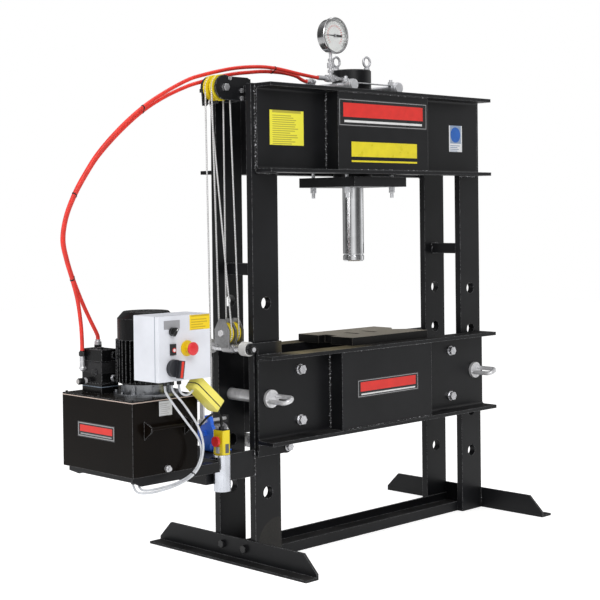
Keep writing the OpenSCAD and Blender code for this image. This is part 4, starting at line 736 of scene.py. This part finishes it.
def front_sign(name, low_x, high_x, low_z, high_z, face_y):
    wide, tall = high_x - low_x, high_z - low_z
    board = plate((low_x, face_y - board_front, low_z), (high_x, face_y - board_back, high_z), board_edge)
    keep_piece(board, name + "_board", sign_black, "frame")
    front, back = face_y - print_front, face_y - print_back
    rim = bmesh.new()
    for near_x, near_z, far_x, far_z in rim_strips(
            low_x + rim_gap, high_x - rim_gap, low_z + rim_gap, high_z - rim_gap, rim_wide):
        plate((near_x, front, near_z), (far_x, back, far_z), film_edge, rim)
    keep_piece(rim, name + "_rim", sign_grey, "frame")
    bar = plate((low_x + 0.06 * wide, front, low_z + 0.15 * tall),
                (high_x - 0.06 * wide, back, low_z + 0.23 * tall), film_edge)
    keep_piece(bar, name + "_bar", sign_white, "frame")
    field = plate((low_x + 0.05 * wide, front, low_z + 0.34 * tall),
                  (high_x - 0.05 * wide, back, high_z - 0.16 * tall), film_edge)
    keep_piece(field, name + "_field", sign_red, "frame")


front_sign("head_sign", -325, 270, 1847, 1971, -213)
front_sign("bed_sign", -232, 183, 649, 732, -221)
print("two front signs")

# %% Sign on the tank
tank_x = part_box("oil_tank")[0].x * mm
board = plate((tank_x - board_front, -116, 600), (tank_x - board_back, 124, 662), board_edge)
keep_piece(board, "tank_sign_board", sign_black, "frame")
tank_lines = bmesh.new()
for near_y, near_z, far_y, far_z in rim_strips(-112, 120, 604, 658, 4) + [(-96, 612, 104, 617)]:
    plate((tank_x - print_front, near_y, near_z), (tank_x - print_back, far_y, far_z), film_edge, tank_lines)
keep_piece(tank_lines, "tank_sign_lines", sign_grey, "frame")
field = plate((tank_x - print_front, -100, 623), (tank_x - print_back, 108, 649), film_edge)
keep_piece(field, "tank_sign_field", sign_red, "frame")
print("one side sign")

# %% [markdown]
# ## Bars and labels
# Under the head's sign runs a yellow bar with a thin line below it, as plain colour on the black steel.
# The labels are thin films printed with plain rows. The rows come from one sum: the height in units of a row
# with its whole number thrown away, and each row ends at its own place.

# %% Printed rows
heading_gap = 0.006


def barred_label(name, ground, ink, low_z, pitch, left_x, right_x, head_z):
    material, shader, place = new_finish(name, {"Specular IOR Level": 0.45})
    across, height = axis_of(place, 0), axis_of(place, 2)
    rows = (height - low_z) / pitch
    row = rows.math("FLOOR", rows)
    ragged = row.node("TexWhiteNoise", {"noise_dimensions": "1D"}, {"W": row}, 0)
    ends = ragged * (0.3 * (right_x - left_x)) + (left_x + 0.62 * (right_x - left_x))
    bars = rows.math("FRACT", rows).over(0.55) * (ends - across).over(0.0) * (across - left_x).over(0.0)
    heading = (height - head_z).over(0.0) * between(across, left_x, right_x)
    plain = bars * (1.0 - (height - head_z + heading_gap).over(0.0))
    plain.math("MAXIMUM", plain, heading).colours(ground, ink).feed(shader, "Base Color")
    (place.noise(40.0) * 0.15 + 0.3).feed(shader, "Roughness")
    return material


print("rows ready")

# %% Yellow bars and labels
bar_yellow = flat_print("bar_yellow", (0.86, 0.72, 0.02), 0.3)
bars = plate((-244, -213.6, 1716), (198, -213.05, 1782), film_edge)
plate((-244, -213.6, 1692), (198, -213.05, 1700), film_edge, bars)
keep_piece(bars, "head_bars", bar_yellow, "frame")
yellow_film = barred_label(
    "yellow_film", (0.94, 0.87, 0.06), (0.52, 0.46, 0.05), 1.768, 0.0092, -0.652, -0.482, 1.897)
label = plate((-668, -138.5, 1760), (-466, -138.05, 1908), film_edge)
keep_piece(label, "yellow_label", yellow_film, "frame")
white_film = barred_label(
    "white_film", (0.84, 0.85, 0.87), (0.30, 0.38, 0.52), 1.764, 0.0085, 0.534, 0.617, 1.798)
label = plate((526, -138.5, 1758), (625, -138.05, 1885), film_edge)
keep_piece(label, "white_label", white_film, "frame")
label_blue = flat_print("label_blue", (0.02, 0.14, 0.55), 0.32)
disc = disc_at((0.5745, -0.1387, 1.840), 0.037, 0.0004, 48)
keep_piece(disc, "blue_disc", label_blue, "frame")
data_film = barred_label(
    "data_film", (0.66, 0.67, 0.68), (0.46, 0.46, 0.47), 0.700, 0.0075, -1.349, -1.293, 0.752)
data = plate((-1353, -225.6, 697), (-1289, -225.05, 754), 0.2)
keep_piece(data, "data_plate", data_film, "frame")
box_film = barred_label(
    "box_film", (0.92, 0.66, 0.01), (0.62, 0.42, 0.01), 1.035, 0.0095, -1.302, -1.212, 1.082)
label = plate((-1309, -360.6, 1032), (-1209, -360.05, 1089), film_edge)
keep_piece(label, "box_label", box_film, "door")
print("bars and labels")

# %% [markdown]
# ## Weld beads
# A hand-laid weld is a row of overlapping ripples, like a stack of coins pushed over.
# A ring is extruded along the joint in short steps, and each step is made a little fatter or thinner in turn.
# Bright specks on the black are painted glints, where the ripples would catch the light.

# %% Making a bead


def bead(beads, start, stop, radius, step=7.0):
    start = Vector(start) / mm
    stop = Vector(stop) / mm
    along = stop - start
    count = max(2, round(along.length * mm / step))
    shape = bmesh.new()
    ring = bmesh.ops.create_circle(shape, cap_ends=True, segments=8, radius=radius / mm,
                                   matrix=laid(start, along))["verts"]
    edges = list({line for point in ring for line in point.link_edges})
    for index in range(count):
        made = bmesh.ops.extrude_edge_only(shape, edges=edges)["geom"]
        points = [item for item in made if isinstance(item, bmesh.types.BMVert)]
        edges = [item for item in made if isinstance(item, bmesh.types.BMEdge)]
        bmesh.ops.translate(shape, vec=along / count, verts=points)
        middle = sum((point.co for point in points), Vector()) / len(points)
        fat = 1.0 + 0.24 * ((index % 2) * 2 - 1) + 0.2 * math.sin(index * 2.7)
        size = fat * radius / mm
        for point in points:
            point.co = middle + (point.co - middle).normalized() * size
    bmesh.ops.contextual_create(shape, geom=edges)
    bmesh.ops.recalc_face_normals(shape, faces=shape.faces)
    strip = bpy.data.meshes.new("bead")
    shape.to_mesh(strip)
    shape.free()
    beads.from_mesh(strip)
    bpy.data.meshes.remove(strip)


def weld_finish():
    material, shader, place = new_finish("weld_paint", {"Specular IOR Level": 0.5})
    ripple = place.noise(120.0, 2.0)
    # The bright specks are painted glints on the ripples.
    weld_glints = ripple.ramp(0.56, 0.66)
    weld_glints.colours(deep_black, (0.34, 0.34, 0.36)).feed(shader, "Base Color")
    (ripple * 0.2 + 0.15).feed(shader, "Roughness")
    ripple.bump(0.4, 0.001).feed(shader, "Normal")
    return material


print("beads ready")

# %% Weld the frame
weld_paint = weld_finish()
head_low, head_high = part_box("head_channels")
head_bottom, head_top = head_low.z * mm, head_high.z * mm
bed_top = 876.6
bed_bottom = bed_top - 374.0
box_left, box_right = -327.5, 279.5
lip_left, lip_right = -327.0, 279.0
short, lip = 20, 17
webs = ((138.5, head_bottom + short, head_top - short), (146.5, bed_bottom + short, bed_top - short))
joints = (
    (-742.5, -742.5, 128.5, head_bottom + 4, head_top - 4, 7.0),
    (742.5, 742.5, 128.5, head_bottom + 4, head_top - 4, 7.0),
    (-617.0, -740.0, 129.0, head_bottom, head_bottom, 6.0),
    (617.0, 740.0, 129.0, head_bottom, head_bottom, 6.0),
    (-757.0, -622.0, 145.5, bed_top, bed_top, 4.0),
    (-757.0, -590.0, 145.5, bed_bottom, bed_bottom, 4.0),
    (-765.5, -765.5, 127.5, 375, 480, 4.0),
    (-765.5, -765.5, 126.0, 14, 94, 4.0),
    (765.5, 765.5, 126.0, 14, 94, 4.0))
lips = ((212.0, head_bottom + lip), (220.0, bed_bottom + lip),
        (212.0, head_top - lip), (220.0, bed_top - lip))
beads = bmesh.new()
for side in (-1, 1):
    for face, foot, top in webs:
        for edge in (box_left, box_right):
            bead(beads, (edge, side * face, foot), (edge, side * face, top), 6.5)
    for near_x, far_x, face, near_z, far_z, radius in joints:
        bead(beads, (near_x, side * face, near_z), (far_x, side * face, far_z), radius)
    for face, level in lips:
        bead(beads, (lip_left, side * face, level), (lip_right, side * face, level), 3.5)
print("beads on the frame:", 2 * (2 * len(webs) + len(joints) + len(lips)))

# %% Weld the joining bars
bar_face, bar_x, bar_z, bar_bead = 95.5, 20, 25, 3.5
for middle, rise in ((-691, 1233), (691, 1287)):
    left, right, foot, top = middle - bar_x, middle + bar_x, rise - bar_z, rise + bar_z
    for face in (-bar_face, bar_face):
        for height in (foot, top):
            bead(beads, (left, face, height), (right, face, height), bar_bead)
        for across in (left, right):
            bead(beads, (across, face, foot), (across, face, top), bar_bead)
keep_piece(beads, "weld_beads", weld_paint, "frame", smooth=True)
print("weld beads laid")

# %% [markdown]
# ## The pressure gauge
# The dial is a white disc under glass. Its marks come from the angle and the distance to the centre,
# so they stay sharp at any size: long marks ten to each half of the sweep, short ones between them,
# and a row of red dashes inside. The needle gets a dark tail that turns with it.

# %% Dial
half_sweep = math.radians(135.0)
long_marks, short_marks = 10.0, 50.0
gauge_low, gauge_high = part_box("gauge_case")
gauge_mid = (gauge_low + gauge_high) / 2
gauge_r = (gauge_high.x - gauge_low.x) / 2


def from_mark(value):
    away = value.math("FRACT", value + 0.5) - 0.5
    return away.math("ABSOLUTE", away)


def dial_print():
    material, shader, place = new_finish("dial_print", {"Roughness": 0.5, "Specular IOR Level": 0.3})
    across = axis_of(place, 0) - gauge_mid.x
    up = axis_of(place, 2) - gauge_mid.z
    square = across * across + up * up
    reach = square.math("SQRT", square) / gauge_r
    turn = across.math("ARCTAN2", across, up) / half_sweep
    inside = 1.0 - turn.math("ABSOLUTE", turn).over(1.01)
    near = from_mark(turn * long_marks)
    close = from_mark(turn * short_marks)
    long_mark = (0.045 - near).over(0.0) * between(reach, 0.66, 0.84)
    short_mark = (0.13 - close).over(0.0) * between(reach, 0.77, 0.84)
    ring = (0.012 - (reach - 0.845).math("ABSOLUTE", reach - 0.845)).over(0.0)
    dashes = (0.2 - near).over(0.0) * between(reach, 0.5, 0.6) * 0.75
    ink = long_mark.math("MAXIMUM", long_mark, short_mark)
    ink = ink.math("MAXIMUM", ink, ring)
    paper = (dashes * inside).colours((0.74, 0.74, 0.73), (0.55, 0.04, 0.03))
    (ink * inside).colours(paper, (0.02, 0.02, 0.022)).feed(shader, "Base Color")
    return material


dial_y = gauge_low.y + 0.010 - 0.0001
dial = disc_at((gauge_mid.x, dial_y, gauge_mid.z), gauge_r - 0.0085, 0.0002)
keep_piece(dial, "gauge_dial", dial_print(), "carriage")
print("dial printed")

# %% Glass, hub, the valve's washer and the needle's tail
glass, glass_shader, _ = new_finish(
    "gauge_glass", {"Transmission Weight": 1.0, "Roughness": 0.02, "IOR": 1.2, "Alpha": 0.35})
glass_shader.inputs["Base Color"].default_value = (0.95, 0.97, 0.97, 1.0)
pane = disc_at((gauge_mid.x, gauge_low.y + 0.0035, gauge_mid.z), gauge_r - 0.0083, 0.0015)
keep_piece(pane, "gauge_pane", glass, "carriage")
hub = disc_at((gauge_mid.x, gauge_low.y + 0.0052, gauge_mid.z), 0.006, 0.0006, 32)
keep_piece(hub, "gauge_hub", gauge_metal, "carriage")
washer = disc_at((plug_x / mm, (plug_y + 6.4) / mm, plug_z / mm), 0.0145, 0.0012, 40)
keep_piece(washer, "plug_washer", zinc_plate, "frame")
tail_x, tail_y, tail_z = gauge_mid.x * mm, gauge_low.y * mm, gauge_mid.z * mm
tail = plate((tail_x + 6.0, tail_y + 8.3, tail_z - 4.5), (tail_x + 46.0, tail_y + 9.7, tail_z + 4.5), 0.3)
keep_piece(tail, "needle_tail", plastic_black, "gauge_needle")
print("gauge dressed")

# %% [markdown]
# ## Small parts on the door and on the hand control
# A lamp with a red ring sits in its black body, and the main switch has a red inlay along its lever.
# The inlay is drawn upright and then turned with the lever, about the switch's own axis.
# Each part rides on what carries it, so the inlay turns when the switch does.
# The hand control's grey button has rounded edges, and its top keeps clear of the stop when that is pressed.

# %% Lamp, switch inlay and selector mark
lamp_ring = disc_at((-1.391, -0.3674, 0.9625), 0.009, 0.0012, 40)
keep_piece(lamp_ring, "lamp_ring", button_red, "door")
lamp_lens = disc_at((-1.391, -0.3682, 0.9625), 0.0058, 0.0016, 40)
keep_piece(lamp_lens, "lamp_lens", sign_white, "door")
switch_axis = Vector((-1.392, 0.0, 0.895))
inlay_red = flat_print("inlay_red", (0.82, 0.04, 0.02), 0.3)
inlay = plate((-1384, -399, 862), (-1373, -397.9, 923), 0.4)
lever_turn = Matrix.Rotation(math.radians(8.0), 3, "Y")
bmesh.ops.rotate(inlay, cent=switch_axis, matrix=lever_turn, verts=inlay.verts)
keep_piece(inlay, "switch_inlay", inlay_red, "isolator_handle")
pointer = plate((-1398, -386.6, 1037), (-1394, -385.9, 1046), 0.2)
selector_turn = Matrix.Rotation(math.radians(35.0), 3, "Y")
bmesh.ops.rotate(pointer, cent=(-1.396, 0.0, 1.032), matrix=selector_turn, verts=pointer.verts)
keep_piece(pointer, "selector_mark", sign_white, "selector_knob")
print("door parts")

# %% Button, tag and cable ribs
button_low, button_high = (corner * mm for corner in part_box("pendant_button"))
button_drop, button_edge = 2.0, 2.0
button = plate(button_low, (button_high.x, button_high.y, button_high.z - button_drop), button_edge)
button_cap = keep_piece(button, "button_cap", button_grey, "pendant_button")
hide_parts("pendant_button")
tag = plate((-989, -194.9, 503), (-970, -194.25, 540), film_edge)
tag_grey = flat_print("tag_grey", (0.11, 0.11, 0.13), 0.4)
keep_piece(tag, "pendant_tag", tag_grey, "frame")
ribs = bmesh.new()
cable_line = cords["pendant_cable"][1]
for index in range(6, 40, 2):
    along = cable_line[index + 1] - cable_line[index - 1]
    wide = 0.0074 - 0.00006 * index
    bmesh.ops.create_cone(ribs, cap_ends=True, segments=20, radius1=wide, radius2=0.9 * wide, depth=0.0026,
                          matrix=laid(cable_line[index], along))
keep_piece(ribs, "cable_ribs", cable_black, "frame")
print("button, tag and cable ribs")

# %% [markdown]
# ## Ties on the hoses and cables
# Short plastic bands bind the two hoses together, and one more binds the two cables.
# Each band is a flat ring round both, drawn out along the line between them.

# %% Ties
tie_wide = 0.005


def tie_ring(shape, first_line, second_line, spot, radius):
    target = Vector(spot) / mm
    index = min(range(1, len(first_line) - 1), key=lambda step: (first_line[step] - target).length)
    first = first_line[index]
    second = min(second_line, key=lambda point: (point - first).length)
    along = first_line[index + 1] - first_line[index - 1]
    middle = (first + second) / 2
    apart = second - first
    ring = bmesh.ops.create_cone(shape, cap_ends=False, segments=24, radius1=radius, radius2=radius,
                                 depth=tie_wide, matrix=laid(middle, along))["verts"]
    reach = apart.normalized()
    for point in ring:
        side = (point.co - middle).dot(reach)
        point.co += reach * math.copysign(apart.length / 2, side)


def keep_ties(shape, name, thickness, body):
    bmesh.ops.solidify(shape, geom=shape.faces[:], thickness=thickness)
    bmesh.ops.recalc_face_normals(shape, faces=shape.faces)
    return keep_piece(shape, name, plastic_black, body, smooth=True)


ties = bmesh.new()
for spot in ((-505, -4, 2103), (-1170, 80, 1909), (-1480, 130, 1556), (-1481, 150, 1216)):
    tie_ring(ties, cords["supply_hose"][1], cords["return_hose"][1], spot, 0.0092)
tie_piece = keep_ties(ties, "hose_ties", 0.0012, None)
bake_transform(tie_piece)
cable_tie = bmesh.new()
tie_ring(cable_tie, cords["motor_cable"][1], cords["valve_cable"][1], (-1229, -270, 466), 0.0054)
keep_ties(cable_tie, "cable_tie", 0.001, "frame")
print("hose and cable ties")

# %% [markdown]
# ## Studio
# The machine stands on a white floor in front of a white wall, under broad soft lamps.
# The world is white to the camera and dimmer as a lamp, so that the black paint keeps its depth.
# Shiny metal sees the same white as three broad panels with softer gaps between them, dimmer on the far side,
# because chrome in a plain white room has nothing to mirror and looks like paper.

# %% World
panel_count, panel_turn = 3.0, math.radians(141.0)
far_turn, far_dim = math.radians(25.0), 0.7
gap_light, soft = 0.1, 0.48
scene.view_settings.view_transform = "Standard"
world = bpy.data.worlds.new("studio")
scene.world = world
world.use_nodes = True
sky = world.node_tree
background = sky.nodes["Background"]
rays = sky.nodes.new("ShaderNodeLightPath")
camera_ray = Signal(sky, rays.outputs["Is Camera Ray"])
clear_ray = camera_ray.math("MAXIMUM", camera_ray, Signal(sky, rays.outputs["Is Transmission Ray"]))
glossy_ray = Signal(sky, rays.outputs["Is Glossy Ray"])
heading = Signal(sky, sky.nodes.new("ShaderNodeTexCoord").outputs["Generated"])
compass = heading.math("ARCTAN2", axis_of(heading, 1), axis_of(heading, 0))
bearing = compass * panel_count + panel_turn
far_side = compass.math("SINE", compass - far_turn).ramp(0.0, 1.0)
band = bearing.math("SINE", bearing) * 0.5 + 0.5
panels = (band * band * (1.0 - gap_light) + gap_light) * (1.0 - far_side * far_dim)
lit = glossy_ray * (panels - soft) + clear_ray * (1.0 - soft) + soft
background.inputs["Color"].default_value = (1.0, 1.0, 1.0, 1.0)
sky.links.new(lit.socket, background.inputs["Strength"])
print("white world with three panels")

# %% Floor
floor_mesh = bpy.data.meshes.new("floor")
floor_shape = bmesh.new()
bmesh.ops.create_grid(floor_shape, x_segments=1, y_segments=1, size=14.0)
floor_shape.to_mesh(floor_mesh)
floor_shape.free()
floor = bpy.data.objects.new("floor", floor_mesh)
scene.collection.objects.link(floor)
floor_paint, floor_shader, _ = new_finish("floor_paint", {"Roughness": 0.9, "Emission Strength": 1.0})
floor_shader.inputs["Base Color"].default_value = (0.85, 0.85, 0.85, 1.0)
floor_rays = floor_paint.node_tree.nodes.new("ShaderNodeLightPath")
floor_seen = Signal(floor_paint.node_tree, floor_rays.outputs["Is Camera Ray"])
floor_seen.colours((0.26, 0.26, 0.26), (0.66, 0.66, 0.66)).feed(floor_shader, "Emission Color")
floor_mesh.materials.append(floor_paint)
print("floor laid")

# %% Lamps


def soft_lamp(name, place, aim, power, size):
    data = bpy.data.lights.new(name, "AREA")
    data.shape = "RECTANGLE"
    data.size = size[0]
    data.size_y = size[1]
    data.energy = power
    lamp = bpy.data.objects.new(name, data)
    lamp.matrix_world = laid(place, Vector(place) - Vector(aim))
    scene.collection.objects.link(lamp)


soft_lamp("key_lamp", (-3.0, -4.8, 4.4), (-0.2, 0.0, 1.0), 135.0, (2.6, 2.6))
soft_lamp("side_lamp", (-6.0, 0.6, 2.8), (-0.3, 0.0, 1.0), 70.0, (3.0, 3.0))
soft_lamp("top_lamp", (-0.4, 0.6, 5.0), (-0.3, 0.0, 0.0), 70.0, (4.0, 3.0))
print("three soft lamps")
